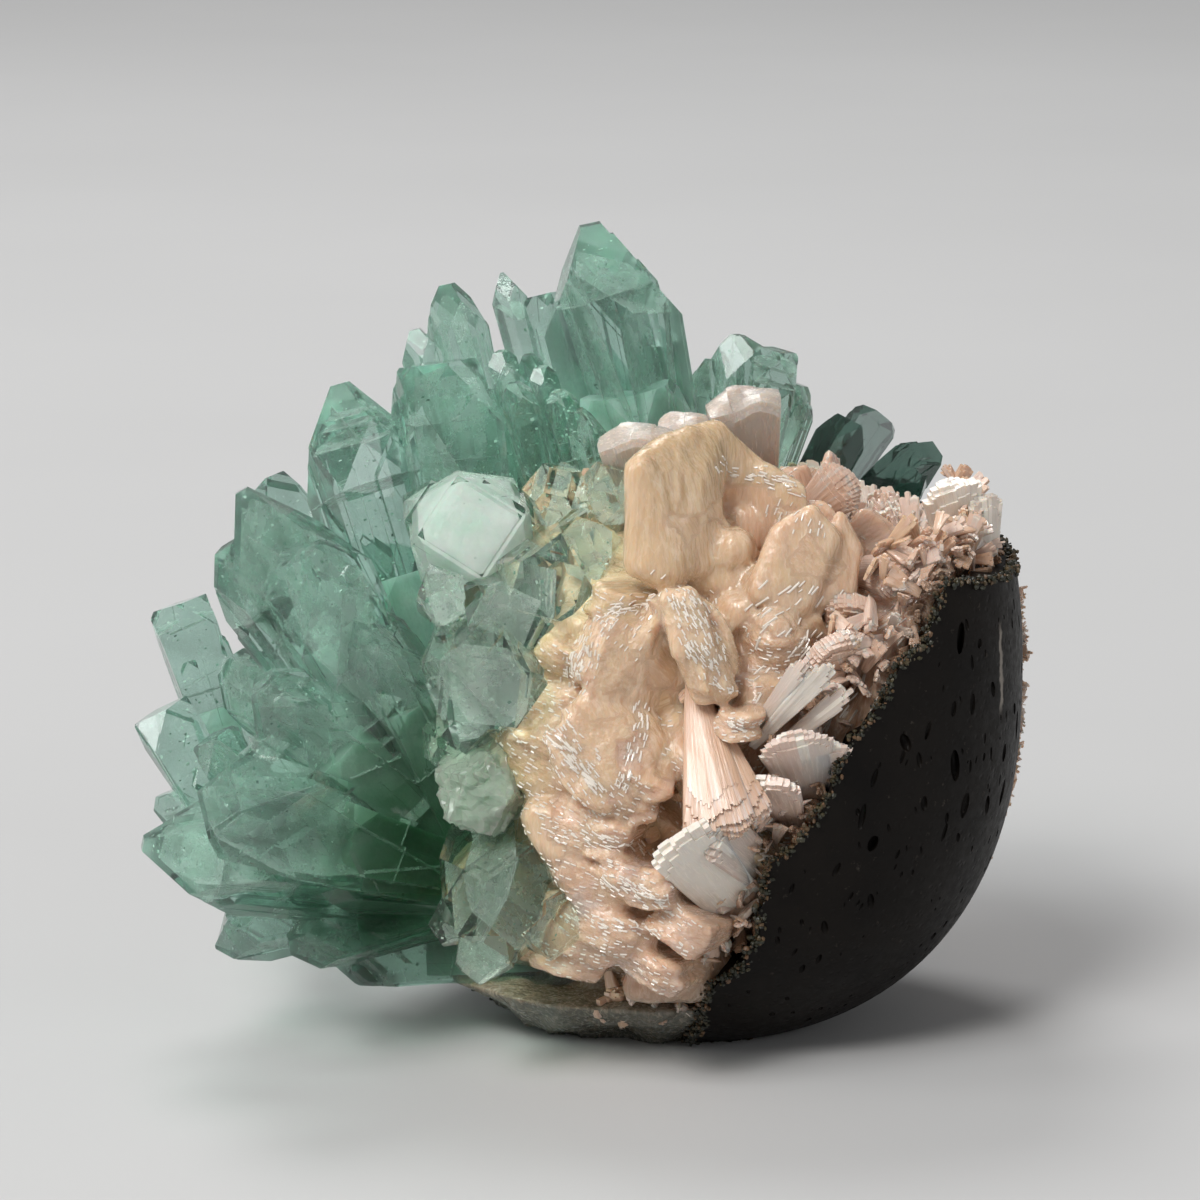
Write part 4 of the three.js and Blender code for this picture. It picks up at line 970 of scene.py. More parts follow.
def rough(mesh, cell, height, size, seed=0.0, keep_floor=True):
    """The mesh cut in cells by planes along X, Y and Z, its surface moved by noise."""
    bm = bmesh.new()
    bm.from_mesh(mesh)
    for axis in range(3):
        normal = Vector([float(index == axis) for index in range(3)])
        heights = [vertex.co[axis] for vertex in bm.verts]
        count = int((max(heights) - min(heights)) / cell)
        for index in range(1, count):
            bmesh.ops.bisect_plane(bm, geom=[*bm.verts, *bm.edges, *bm.faces], dist=1e-4,
                                   plane_co=normal * (min(heights) + cell * index),
                                   plane_no=normal)
    bmesh.ops.triangulate(bm, faces=bm.faces)
    bm.normal_update()
    offset = Vector((seed, 2 * seed, 3 * seed))
    moves = []
    for vertex in bm.verts:
        wave = noise.fractal(vertex.co / size + offset, 0.8, 2.1, 4)
        still = keep_floor and vertex.co.z < 0.15
        moves.append(vertex.normal * (0.0 if still else height * wave))
    for vertex, move in zip(bm.verts, moves):
        vertex.co += move
        if keep_floor:
            vertex.co.z = max(vertex.co.z, ground_level(vertex.co.x))
    return bm_to_mesh(bm)


FILL_INSET = (-6, -7, -5)
BASE_INSET = (-2.5, -3.5, 0)
CAVITY = [(RIM_POINT - 2.5 * RIM_NORMAL, -RIM_NORMAL),
          (BACK_WALL_POINT - 1.5 * BACK_WALL_NORMAL, -BACK_WALL_NORMAL)]
FILL_SLOPES = [((10, -10, 55), Vector((0.1, -0.45, 1)).normalized()),
               ((20, 0, 58.5), Vector((0.15, 0, 1)).normalized())]
UNDERSIDE = [((0, 0, 0.02), -UP), ((SLANT_START, 0, 0), Vector((-SLANT, 0, -1)).normalized())]
FILL_PARTS = [
    [((0, -1.5, 0), (0, 1, 0)), ((-9, 0, 30), Vector((-1, 0, 0.2)).normalized())],
    [((18, 0, 0), (-1, 0, 0))],
    [((0, -12, 0), (0, -1, 0)), ((5, 0, 0), (-1, 0, 0))],
    [((0, -12, 0), (0, -1, 0)), ((-3, 0, 0), (-1, 0, 0)), ((0, 0, 46), (0, 0, 1))],
]
BASE_PARTS = [((0, 0, 8), (0, -0.15, 1)), ((-22, 0, 0), (-1, 0, 0))]
STILBITE_EDGE = [(0, -6.0), (20, -6.0), (30, -10.0), (36, -11.0), (38, -5.5), (46, -5.0),
                 (50, 0.0), (66, 2.5), (90, 2.5)]


def stilbite_fill():
    """The closed inner body that the sheaves stand on."""
    parts = union([convex([*CAVITY, *FILL_SLOPES, *UNDERSIDE, *part]) for part in FILL_PARTS])
    upper = boolean(ground_body(FILL_INSET), [parts], "INTERSECT")
    base = boolean(ground_body(BASE_INSET), [convex([*CAVITY, *UNDERSIDE, *BASE_PARTS])],
                   "INTERSECT")
    return union([base, upper])


def rim_distance(place):
    """How far a place lies in front of the cavity wall, in mm."""
    return min((place - RIM_POINT).dot(RIM_NORMAL),
               (place - BACK_WALL_POINT).dot(BACK_WALL_NORMAL))


def stilbite_edge(z):
    """The lowest x at which stilbite shows in front at a height, beside the clear crystals."""
    for (low, low_x), (high, high_x) in zip(STILBITE_EDGE, STILBITE_EDGE[1:]):
        if low <= z <= high:
            return low_x + (high_x - low_x) * (z - low) / (high - low)
    return 0.0


def surface_places(mesh, rng):
    """Endless places on a mesh with their normals, evenly spread by area."""
    mesh.calc_loop_triangles()
    corners = np.array([[mesh.vertices[index].co[:] for index in triangle.vertices]
                        for triangle in mesh.loop_triangles])
    normals = np.cross(corners[:, 1] - corners[:, 0], corners[:, 2] - corners[:, 0])
    areas = np.linalg.norm(normals, axis=1)
    normals /= np.maximum(areas, 1e-9)[:, None]
    totals = np.cumsum(areas)
    while True:
        pick = int(np.searchsorted(totals, rng.random() * totals[-1]))
        yield Vector(corners[pick].mean(axis=0)), Vector(normals[pick])


def small_sheaf(sheaves, rng, place, along, size, tone, seed, slim, stain=0.0):
    """A small fan of blades, half sunk into what it stands on."""
    face = Vector([rng.gauss(0, 1), rng.gauss(0, 1) - 0.5, rng.gauss(0, 1)])
    length = size * rng.uniform(4.5, 7.5)
    sheaves.add(
        place - along * 0.55 * length, place + along * 0.45 * length, face,
        size * rng.uniform(2.4, 4.2) * slim, size * rng.uniform(0.7, 1.9) * slim,
        strips=3, sheets=3, jag=0.35 * size, dome=0.12, foot=rng.uniform(0.25, 0.6),
        tone=tone, glint=0.3, stain=stain, seed=seed)


def paleness(place):
    """From 0 at the honey-coloured side to 1 at the pale, fine-bladed top and rim."""
    return max(0.0, min(1.0, (place.x - 12) / 24 + (place.z - 52) / 30))


ROSETTES = [(14.7, -17, 51.0), (10.9, -19, 41.4), (17.4, -18, 45.7), (4.4, -18, 34.5),
            (11.4, -21, 27.3), (4.9, -19, 21.2), (23.5, -15, 48.9), (26.1, -18, 42.3),
            (20.7, -20, 34.4), (0.0, -16, 40.7), (12.6, -21, 16.0), (26.3, -12, 55.5),
            (17.5, -21, 21.7)]


def rosettes(rng, each):
    """Sheaves that radiate from a few centres and lie with a broad face to the outside."""
    specs = []
    for number, centre in enumerate(ROSETTES):
        outward = Vector(outline_slope(Vector(centre))).normalized()
        side = outward.cross(UP).normalized()
        rise = side.cross(outward)
        for index in range(each):
            turn = 2 * math.pi * (index + rng.uniform(-0.3, 0.3)) / each + number
            lateral = side * math.cos(turn) + rise * math.sin(turn)
            layer = rng.random()
            root = Vector(centre) - outward * (1 + 4 * layer) + lateral * rng.uniform(0, 2)
            reach = rng.uniform(7.5, 11.5) + 2.5 * layer
            tip = root + lateral * reach + outward * rng.uniform(1.0, 4.0)
            for _ in range(20):
                if outline_value(tip, 2.5) > 1:
                    tip -= outward * 0.5
            if tip.x < stilbite_edge(tip.z) + 1 or rim_distance(tip) < 2 or tip.z < 4:
                continue
            fine = paleness(tip)
            size = rng.uniform(0.8, 1.15) * (1 - 0.35 * fine)
            face = outward + Vector([rng.gauss(0, 0.35) for _ in range(3)])
            specs.append(dict(
                root=tuple(root), tip=tuple(tip), face=tuple(face), width=9.5 * size,
                thick=4.2 * size * (1 - 0.3 * fine), arc=0.16, foot=0.35,
                bend=rng.uniform(-1, 1.5), curl=rng.uniform(-0.06, 0.1),
                tone=0.2 + 0.34 * fine + rng.uniform(-0.08, 0.08)))
    return specs


def lobe(balls):
    """The smooth closed skin stretched over some balls."""
    bm = bmesh.new()
    for *place, radius in balls:
        made = bmesh.ops.create_icosphere(bm, subdivisions=2, radius=radius)["verts"]
        bmesh.ops.translate(bm, verts=made, vec=place)
    hull = bmesh.ops.convex_hull(bm, input=bm.verts)
    inner = {item for item in hull["geom_interior"] if isinstance(item, bmesh.types.BMVert)}
    bmesh.ops.delete(bm, geom=[*inner], context="VERTS")
    loose = [vertex for vertex in bm.verts if not vertex.link_faces]
    bmesh.ops.delete(bm, geom=loose, context="VERTS")
    return bm_to_mesh(bm)


def blade_axes(spec):
    """The directions across, through and along a sheaf."""
    along = (Vector(spec["tip"]) - Vector(spec["root"])).normalized()
    face = Vector(spec["face"])
    face = (face - along * face.dot(along)).normalized()
    return along.cross(face), face, along


SLAB = dict(strips=5, sheets=3, jag=0.0, ledge=0.0, dome=0.02, corner=0.1)


def slabs(spec, rng):
    """The same sheaf as three slabs that lie on each other, each ending at another length."""
    root, tip = Vector(spec["root"]), Vector(spec["tip"])
    side, face, along = blade_axes(spec)
    made = []
    for step in (-1, 0, 1):
        move = face * step * spec["thick"] * 0.34
        move += side * rng.uniform(-0.07, 0.07) * spec["width"]
        short = along * (tip - root).length * rng.choice((0.0, 0.05, 0.11))
        made.append({**spec, "root": tuple(root + move), "tip": tuple(tip + move - short),
                     "thick": spec["thick"] * 0.42,
                     "width": spec["width"] * rng.uniform(0.85, 1),
                     "arc": spec.get("arc", ARC) * 0.8, **SLAB})
    return made


def grown_skin(meshes):
    """One smooth closed skin over overlapping closed meshes.

    The second result is how deep each of its points lies in a fold, in mm.
    """
    bm = bmesh.new()
    for mesh in meshes:
        bm.from_mesh(mesh)
    item = bpy.data.objects.new("skin", bm_to_mesh(bm))
    bpy.context.scene.collection.objects.link(item)
    remesh = item.modifiers.new("remesh", "REMESH")
    remesh.mode = "VOXEL"
    remesh.voxel_size = SKIN_CELL
    smooth = item.modifiers.new("smooth", "SMOOTH")
    smooth.factor = 0.6
    made = []
    for rounds in (SKIN_ROUNDS, SKIN_ROUNDS + FOLD_ROUNDS):
        smooth.iterations = rounds
        shape = item.evaluated_get(bpy.context.evaluated_depsgraph_get())
        made.append(bpy.data.meshes.new_from_object(shape))
    result, level = made
    bpy.data.objects.remove(item)
    folds = [(flat.co - vertex.co).dot(vertex.normal)
             for vertex, flat in zip(result.vertices, level.vertices)]
    return result, folds


def stilbite_skin(specs, fill, basalt):
    """The sheaves and lobes grown together over the fill, with tone, stain and fibres."""
    sheaves = Sheaves()
    rng = random.Random(3)
    owners = []
    for index, spec in enumerate(specs):
        for slab in slabs(spec, rng):
            sheaves.add(**slab, seed=index + 1)
        owners += [index] * (sheaves.count - len(owners))
    axes = [blade_axes(spec) for spec in specs]
    lobes = [(tone, lobe(balls)) for tone, balls in LOBES]
    closed = [fill, sheaves.mesh("inner"), *[mesh for _, mesh in lobes]]
    skin, folds = grown_skin(closed)
    known = [(Vector(point), tone) for point, tone in zip(
        np.concatenate(sheaves.points).tolist(), np.concatenate(sheaves.tones).tolist())]
    for tone, mesh in lobes:
        known += [(vertex.co.copy(), tone) for vertex in mesh.vertices]
    known += [(vertex.co.copy(), 0.25 + 0.3 * min(1, max(0, vertex.co.x / 30)))
              for vertex in fill.vertices]
    tree = KDTree(len(known))
    for index, (place, _) in enumerate(known):
        tree.insert(place, index)
    tree.balance()
    tones, stains, shades, fibres = [], [], [], []
    normals = [vertex.normal.copy() for vertex in skin.vertices]
    for vertex, normal in zip(skin.vertices, normals):
        near = tree.find_n(vertex.co, 4)
        fibre = vertex.co.copy()
        if near[0][1] < len(owners):
            owner = owners[near[0][1]]
            away = vertex.co - Vector(specs[owner]["root"])
            fibre = Vector([away.dot(axis) for axis in axes[owner]])
            fibre.x += 10 * owner
        ridge = noise.noise(Vector((fibre.x * 0.75, fibre.y * 0.9, fibre.z * 0.12)))
        vertex.co += normal * (0.22 * noise.fractal(vertex.co / 5.0, 0.8, 2.1, 3) + 0.16 * ridge)
        low = ground_level(vertex.co.x)
        if vertex.co.z < low + 0.4:
            vertex.co.z = low
        tones.append(sum(known[index][1] for _, index, _ in near) / 4)
        fibres += list(fibre)
        stains.append(max(0.0, 1 - basalt.find_nearest(vertex.co)[3] / 3))
        # darker below 11 mm: partly the dark ground underside, partly painted shade near the
        # floor
        shades.append(max(0.0, min(1.0, (11 - vertex.co.z) / 6)))
    # painted shade: how deep a point lies in a fold sets how much it is darkened
    folds = [max(0.0, min(1.0, fold / 0.9 - 0.1)) for fold in folds]
    for name, values in (("tone", tones), ("stain", stains), ("shade", shades),
                         ("fold", folds)):
        paint(skin, name, values)
    paint_vectors(skin, "fibre", fibres)
    return skin


def rim_blades(sheaves, rng, count, basalt):
    """Small blades that line the rim, stained brown where they touch the basalt."""
    made = 0
    for place, normal in surface_places(ground_body((-0.8, -0.8, -0.8)), rng):
        if made == count:
            break
        if not -3.5 < rim_distance(place) < 8 or normal.y > 0.4 or not 1.5 < place.z < 61:
            continue
        close, facing, _, near = basalt.find_nearest(place - normal * 0.8)
        if (place - normal * 0.8 - close).dot(facing) < 0:
            continue
        made += 1
        lean = Vector([rng.gauss(0, 0.55) for _ in range(3)])
        along = (normal + 0.5 * RIM_NORMAL + lean).normalized()
        size = rng.uniform(0.45, 1.0) * (0.65 + 0.05 * near)
        foot = place - normal * size * rng.uniform(2.0, 5.0)
        small_sheaf(sheaves, rng, foot, along, size, rng.uniform(0.5, 0.95) - 0.03 * near,
                    1000 + made, 0.9, max(0.0, min(1.0, 1.3 - near / 2.2)))


def scattered(fill, sheaves, rng, count, behind=False):
    """Small sheaves that stand out of the fill, finer and paler toward the rim and the top.

    With `behind` they are larger and keep to the upper face behind the front.
    """
    made = 0
    for place, normal in surface_places(fill, rng):
        if made == count:
            break
        near = rim_distance(place)
        front = place.y < -3
        if near < 0.2 or normal.y > 0.35 or place.z < 10 or normal.z < -0.5:
            continue
        if behind and (normal.z < 0.5 or place.y < -6 or place.z > 64):
            continue
        if front and near > 8 and rng.random() < 0.8:
            continue
        if front and place.x < stilbite_edge(place.z) + 3:
            continue
        made += 1
        fine = max(paleness(place), 1 - near / 9)
        size = rng.uniform(0.75, 1.35) * (1.0 - 0.5 * fine) * (1.7 if behind else 1)
        lean = Vector([rng.gauss(0, 0.5) for _ in range(3)])
        along = (normal + lean).normalized()
        tone = 0.32 + 0.42 * fine + rng.uniform(-0.1, 0.16)
        small_sheaf(sheaves, rng, place, along, size, tone, 100 + made, 1 - 0.35 * fine)


def stilbite_material(name, depth, soft=0.9, clearness=0.0, ledges=0.0):
    """Waxy peach to pale pink, with fibres; light goes `depth` metres into its `soft` share.

    `ledges` is how high the edges of its broad plates stand.
    """
    nodes = Nodes(name)
    tone = nodes.attribute("tone")
    stain = nodes.attribute("stain")
    drift = nodes.math("MULTIPLY_ADD", nodes.noise(110.0, detail=4.0), 0.4, -0.2)
    tone = nodes.math("ADD", tone, drift)
    colour = nodes.ramp(tone, [(0.0, rgb(0.62, 0.45, 0.26)), (0.25, rgb(0.70, 0.50, 0.33)),
                               (0.5, rgb(0.66, 0.43, 0.30)), (0.75, rgb(0.72, 0.57, 0.50)),
                               (0.9, rgb(0.62, 0.56, 0.50)), (1.0, rgb(0.84, 0.78, 0.70))])
    stained = nodes.mix(nodes.ramp(nodes.noise(700.0), [(0.35, 0.0), (0.65, 1.0)]),
                        rgb(0.20, 0.11, 0.06), rgb(0.40, 0.24, 0.15))
    colour = nodes.mix(stain, colour, stained)
    # darker below 11 mm: partly the dark ground underside, partly painted shade near the floor
    shade = nodes.attribute("shade")
    colour = nodes.mix(shade, colour, rgb(0.10, 0.105, 0.085))
    # painted shade: the deeper folds turn a dark orange-brown
    fold = nodes.attribute("fold")
    colour = nodes.mix(nodes.ramp(fold, [(0.0, 0.0), (1.0, 0.75)]), colour,
                       rgb(0.42, 0.20, 0.08))
    fibre = nodes.attribute("fibre", "Vector")
    lines = nodes.stretched(fibre, (2.2, 3.4, 0.3))
    stripes = nodes.noise(1.0, detail=4.0, roughness=0.6, vector=lines)
    colour = nodes.mix(nodes.ramp(stripes, [(0.35, 0.0), (0.75, 0.22)]), colour,
                       rgb(0.86, 0.74, 0.62))
    relief = nodes.bump(stripes, 0.45, 0.00025)
    if ledges:
        levels = nodes.noise(1.0, vector=nodes.stretched(fibre, (0.2, 0.34, 0.06)))
        plates = nodes.math("FRACT", nodes.math("MULTIPLY", levels, 8.0))
        colour = nodes.mix(nodes.ramp(plates, [(0.84, 0.0), (0.95, 0.2)]), colour,
                           rgb(0.88, 0.74, 0.58))
        lower = nodes.bump(plates, ledges, 0.0005)
        nodes.link(lower, relief.node.inputs["Normal"])
    shader = nodes.principled(
        Base_Color=colour, Roughness=nodes.ramp(stripes, [(0.3, 0.14), (0.7, 0.34)]),
        Subsurface_Weight=soft, Subsurface_Radius=(1.0, 0.7, 0.5), Subsurface_Scale=depth,
        Coat_Weight=0.35, Coat_Roughness=0.1, IOR=1.5, Transmission_Weight=clearness,
        Normal=relief)
    return nodes.finish(shader.outputs[0])


# rows of blade ends with painted highlights, as seen from the front: the two ends of the
# row and its half width on the view plane in mm, the way the strokes run, how many, and how
# long they are
STROKES = [
    ((9.9, 1.1), (8.3, 0.0), 1.1, -60, 16, 0.5), ((9.0, 0.0), (11.9, -8.1), 1.5, -58, 64, 0.8),
    ((11.2, 0.0), (13.7, -8.1), 1.0, -58, 30, 0.8),
    ((12.7, -9.6), (15.1, -10.5), 0.4, -20, 12, 0.6),
    ((-1.3, -4.5), (-3.5, -9.0), 0.9, 72, 38, 0.8),
    ((-5.7, -14.9), (0.0, -21.5), 0.6, -48, 44, 1.1),
    ((-4.9, -12.5), (0.0, -19.9), 1.6, -48, 44, 0.8),
    ((5.0, -11.9), (2.9, -21.3), 1.1, 75, 50, 0.8), ((0.9, -1.3), (5.5, 0.2), 0.7, 14, 24, 0.9),
    ((10.5, -12.5), (13.0, -17.9), 0.9, -74, 36, 2.0),
    ((11.9, -18.5), (13.7, -22.7), 0.9, -72, 18, 2.2),
    ((13.7, -13.0), (17.0, -14.8), 0.8, -30, 18, 0.7),
    ((-4.9, -26.2), (5.8, -27.8), 0.8, -22, 40, 0.8),
    ((0.7, -31.1), (8.7, -34.9), 0.8, -38, 44, 0.9),
    ((-4.0, -35.2), (6.7, -37.4), 0.7, -20, 36, 0.8),
    ((13.0, 15.5), (22.2, 12.1), 0.8, -18, 40, 0.8),
    ((19.0, 10.3), (25.1, 7.8), 1.3, 68, 18, 0.9),
    ((17.9, 14.6), (22.0, 12.8), 0.7, -15, 14, 0.8),
    ((-9.0, -33.6), (-5.4, -40.3), 0.7, -60, 16, 0.8),
    ((19.0, -1.1), (31.4, -4.5), 4.0, 42, 60, 1.6),
    ((19.0, -11.2), (29.1, -10.1), 3.8, 50, 46, 1.8),
    ((15.7, -22.4), (26.9, -17.9), 3.4, 62, 40, 1.6),
    ((10.1, -31.4), (20.2, -25.8), 2.9, 30, 30, 1.2)
]


def view_ray(across, up):
    """The eye and the way it looks through a point of the view plane."""
    sine, cosine = math.sin(CAMERA_ELEVATION), math.cos(CAMERA_ELEVATION)
    middle = CAMERA_TARGET / MM - SHIFT
    eye = middle + Vector((0, -cosine, sine)) * CAMERA_DISTANCE / MM
    point = middle + Vector((across, up * sine, up * cosine))
    return eye, (point - eye).normalized()


BLADE_END = [(x * (0.8 if z > 0 else 1), y * (0.5 if z > 0 else 1), z) for x, y, z in BOX]


def blade_end(place, normal, way, size, lean):
    """Where a thin sliver with a painted highlight lies, half sunk, that runs along `way`."""
    way = (way - normal * way.dot(normal)).normalized()
    tilted = Matrix.Rotation(lean, 3, way) @ normal
    turn = Matrix((way, tilted.cross(way), tilted)).transposed().to_4x4()
    shape = Matrix.Diagonal((size, min(0.3, 0.12 + 0.12 * size), 0.22, 1))
    return Matrix.Translation(place) @ turn @ shape


def strokes(surface, specs, rng):
    """Painted-highlight blade ends in rows on the front and across the ends of the fused
    sheaves.
    """
    items = []
    for (start_x, start_up), (end_x, end_up), spread, angle, count, length in STROKES:
        for index in range(count):
            share = (index + rng.random()) / count
            across = start_x + (end_x - start_x) * share + rng.uniform(-spread, spread)
            up = start_up + (end_up - start_up) * share + rng.uniform(-spread, spread)
            eye, look = view_ray(across, up)
            place, normal, _, _ = surface.ray_cast(eye, look)
            if place is None:
                continue
            turn = math.radians(angle + rng.gauss(0, 7))
            way = view_ray(across + math.cos(turn), up + math.sin(turn))[1] - look
            items.append((blade_end(place, normal, way, length * rng.uniform(0.5, 1.3),
                                    rng.gauss(0, 0.3)), PAINTED_GLINT_TONE))
    for spec in specs:
        tip = Vector(spec["tip"])
        side, face, along = blade_axes(spec)
        columns, rows = int(spec["width"]), int(2 * spec["thick"])
        for column in range(columns):
            for row in range(rows):
                if rng.random() < 0.45:
                    continue
                u = (column + rng.uniform(0.2, 0.8)) / columns - 0.5
                w = (row + rng.uniform(0.3, 0.7)) / rows - 0.5
                start = tip + side * u * spec["width"] + face * w * spec["thick"] + along * 2
                place, normal, _, _ = surface.ray_cast(start, -along, 4.5)
                if place is not None and normal.dot(along) > 0.3:
                    items.append((blade_end(place, normal, side, rng.uniform(0.35, 0.85),
                                            rng.gauss(0, 0.3)), PAINTED_GLINT_TONE))
    return boxes(items, BLADE_END)


def mass_piece(name, mesh, material, smooth_angle=None):
    finish_piece(f"stilbite_{name}", mesh, material, "stilbite", "stilbite_mass", smooth_angle)


def dress_stilbite(basalt):
    rng = random.Random(7)
    fill = rough(stilbite_fill(), 1.6, 1.0, 6.0)
    fused = FUSED + rosettes(rng, ROSETTE_BLADES)
    skin = stilbite_skin(fused, fill, basalt)
    surface = BVHTree.FromPolygons([vertex.co for vertex in skin.vertices],
                                   [face.vertices for face in skin.polygons])
    ends = strokes(surface, fused, rng)
    blades = stilbite_material("stilbite_blades", 0.0005, 0.5)
    mass_piece("skin", skin, stilbite_material("stilbite_mass", 0.0016, ledges=0.5), 180)
    # the blade-end slivers are lightened to a painted highlight
    mass_piece("blade_ends", ends, stilbite_material("stilbite_ends", 0.0004, 0.0))
    frosted = stilbite_material("stilbite_frosted", 0.002, 1.0, 0.2)
    for name, specs, material in (("pale_blocks", BLOCKS, frosted),
                                  ("pale_sheaves", PALE, blades)):
        single = Sheaves()
        for index, spec in enumerate(specs):
            single.add(**spec, seed=index + 1)
        mass_piece(name, single.mesh(name), material, BLADE_ANGLE)
    edge = Sheaves()
    rim_blades(edge, rng, RIM_BLADES, basalt)
    mass_piece("rim_blades", edge.mesh("edge"), blades, BLADE_ANGLE)
    small = Sheaves()
    scattered(fill, small, rng, FRONT_SHEAVES)
    scattered(fill, small, rng, UPPER_SHEAVES, behind=True)
    mass_piece("small_sheaves", small.mesh("small"), blades, BLADE_ANGLE)


# ---- Basalt --------------------------------------------------------------------------------

BASALT_TOP_NORMAL = Vector((0.2, 0, 1)).normalized()
PITS = [((38.9, -19.4, 48), 2.3, 8), ((38.6, -20.5, 34.5), 2, -6), ((40, -19, 29.5), 1.7, 10),
        ((33, -25, 38), 1.2, -25), ((29.5, -25.4, 27), 1, 20), ((22, -26, 15.5), 1.3, -40)]


def pit(place, half_sizes, turn):
    """A vesicle to cut out: an ellipsoid turned about the way the ground face looks."""
    bm = bmesh.new()
    bmesh.ops.create_icosphere(bm, subdivisions=2, radius=1.0)
    move = Matrix.Translation(place) @ Matrix.Rotation(math.radians(turn), 4, "Y")
    bm.transform(move @ Matrix.Diagonal((*half_sizes, 1)))
    return bm_to_mesh(bm)


def basalt_body(rng):
    """The ground basalt with its broken cavity, its long vesicles and many small ones."""
    roof = [((16, 0, BASALT_TOP), BASALT_TOP_NORMAL), ((0, 0, BASALT_TOP), UP)]
    body = boolean(ground_body((0, 0, 0), 128, 84), [convex([*UNDERSIDE, *roof])], "INTERSECT")
    bounds = [((-34, 0, 0), (-1, 0, 0)), ((50, 0, 0), (1, 0, 0)), ((0, -38, 0), (0, -1, 0)),
              ((0, 38, 0), (0, 1, 0)), ((0, 0, -4), -UP), ((0, 0, 64), UP)]
    room = convex([(RIM_POINT, -RIM_NORMAL), (BACK_WALL_POINT, -BACK_WALL_NORMAL), *bounds])
    body = boolean(body, [rough(room, 1.6, 2.4, 11.0, 5.0, keep_floor=False)], "DIFFERENCE")
    holes = [pit(place, (0.6, 1.1, length), turn) for place, length, turn in PITS]
    for place, normal in surface_places(body, rng):
        if len(holes) == PIT_COUNT:
            break
        on_face = (place - RIM_POINT).dot(RIM_NORMAL) < -1.5
        inside = place.z > 3 and abs(place.z - BASALT_TOP) > 2
        if on_face and inside and normal.x + normal.z > -0.6:
            size = 0.16 + 0.42 * rng.random() ** 2.5
            holes.append(pit(place, (0.8 * size, size, size * rng.uniform(1.2, 3.6)),
                             rng.uniform(-25, 25)))
    return boolean(body, [union(holes)], "DIFFERENCE")


VEIN_X = 0.0448                         # a thin pale vein on the right, in metres


def basalt_material():
    nodes = Nodes("basalt")
    speck = nodes.noise(900.0, detail=6.0, roughness=0.7)
    patch = nodes.noise(70.0, detail=4.0)
    colour = nodes.mix(nodes.ramp(patch, [(0.35, 0.0), (0.7, 1.0)]),
                       rgb(0.0032, 0.0024, 0.002), rgb(0.009, 0.0068, 0.0052))
    colour = nodes.mix(nodes.ramp(speck, [(0.62, 0.0), (0.75, 1.0)]), colour,
                       rgb(0.055, 0.047, 0.04))
    cells = nodes.add("ShaderNodeTexVoronoi", Scale=900.0, Vector=nodes.place)
    holes = nodes.ramp(cells.outputs["Distance"], [(0.12, 0.0), (0.3, 1.0)])
    height = nodes.mix(0.5, holes, speck)
    parts = nodes.add("ShaderNodeSeparateXYZ", Vector=nodes.place)
    bend = nodes.math("MULTIPLY", nodes.noise(180.0), 0.0018)
    off = nodes.math("SUBTRACT", nodes.math("SUBTRACT", parts.outputs["X"], bend), VEIN_X)
    near = nodes.ramp(nodes.math("MULTIPLY", nodes.math("ABSOLUTE", off), 2200.0),
                      [(0.15, 1.0), (0.45, 0.0)])
    low = nodes.ramp(nodes.math("MULTIPLY", parts.outputs["Z"], 10.0),
                     [(0.385, 0.0), (0.40, 1.0), (0.475, 1.0), (0.49, 0.0)])
    front = nodes.math("LESS_THAN", parts.outputs["Y"], -0.004)
    vein = nodes.math("MULTIPLY", nodes.math("MULTIPLY", near, low), front)
    colour = nodes.mix(vein, colour, rgb(0.26, 0.23, 0.20))
    shader = nodes.principled(
        Base_Color=colour, Roughness=nodes.ramp(speck, [(0.3, 0.36), (0.7, 0.62)]),
        IOR=1.5, Specular_IOR_Level=0.12, Normal=nodes.bump(height, 0.5, 0.00012))
    return nodes.finish(shader.outputs[0])


def rim_places(body):
    """Places along the edge between the ground face and the broken face of the basalt.

    They come sorted, because the edges are gathered in sets, whose order changes by run.
    """
    bm = bmesh.new()
    bm.from_mesh(body)
    rim = set()
    for edge in bm.edges:
        middle = (edge.verts[0].co + edge.verts[1].co) / 2
        if abs(rim_distance(middle)) > 6 or middle.z > BASALT_TOP - 1 or middle.y > 16:
            continue
        on_face = [outline_value(face.calc_center_median()) > 0.985 for face in edge.link_faces]
        if sorted(on_face) == [False, True]:
            rim.add(edge)
    places = []
    while rim:
        waiting = [rim.pop()]
        chain = []
        while waiting:
            edge = waiting.pop()
            chain.append(edge)
            joined = {other for vertex in edge.verts for other in vertex.link_edges} & rim
            rim -= joined
            waiting += joined
        if sum(edge.calc_length() for edge in chain) < 30:
            continue
        for edge in chain:
            steps = max(1, round(edge.calc_length() / 0.25))
            places += [edge.verts[0].co.lerp(edge.verts[1].co, step / steps)
                       for step in range(steps)]
    bm.free()
    return sorted(places, key=tuple)


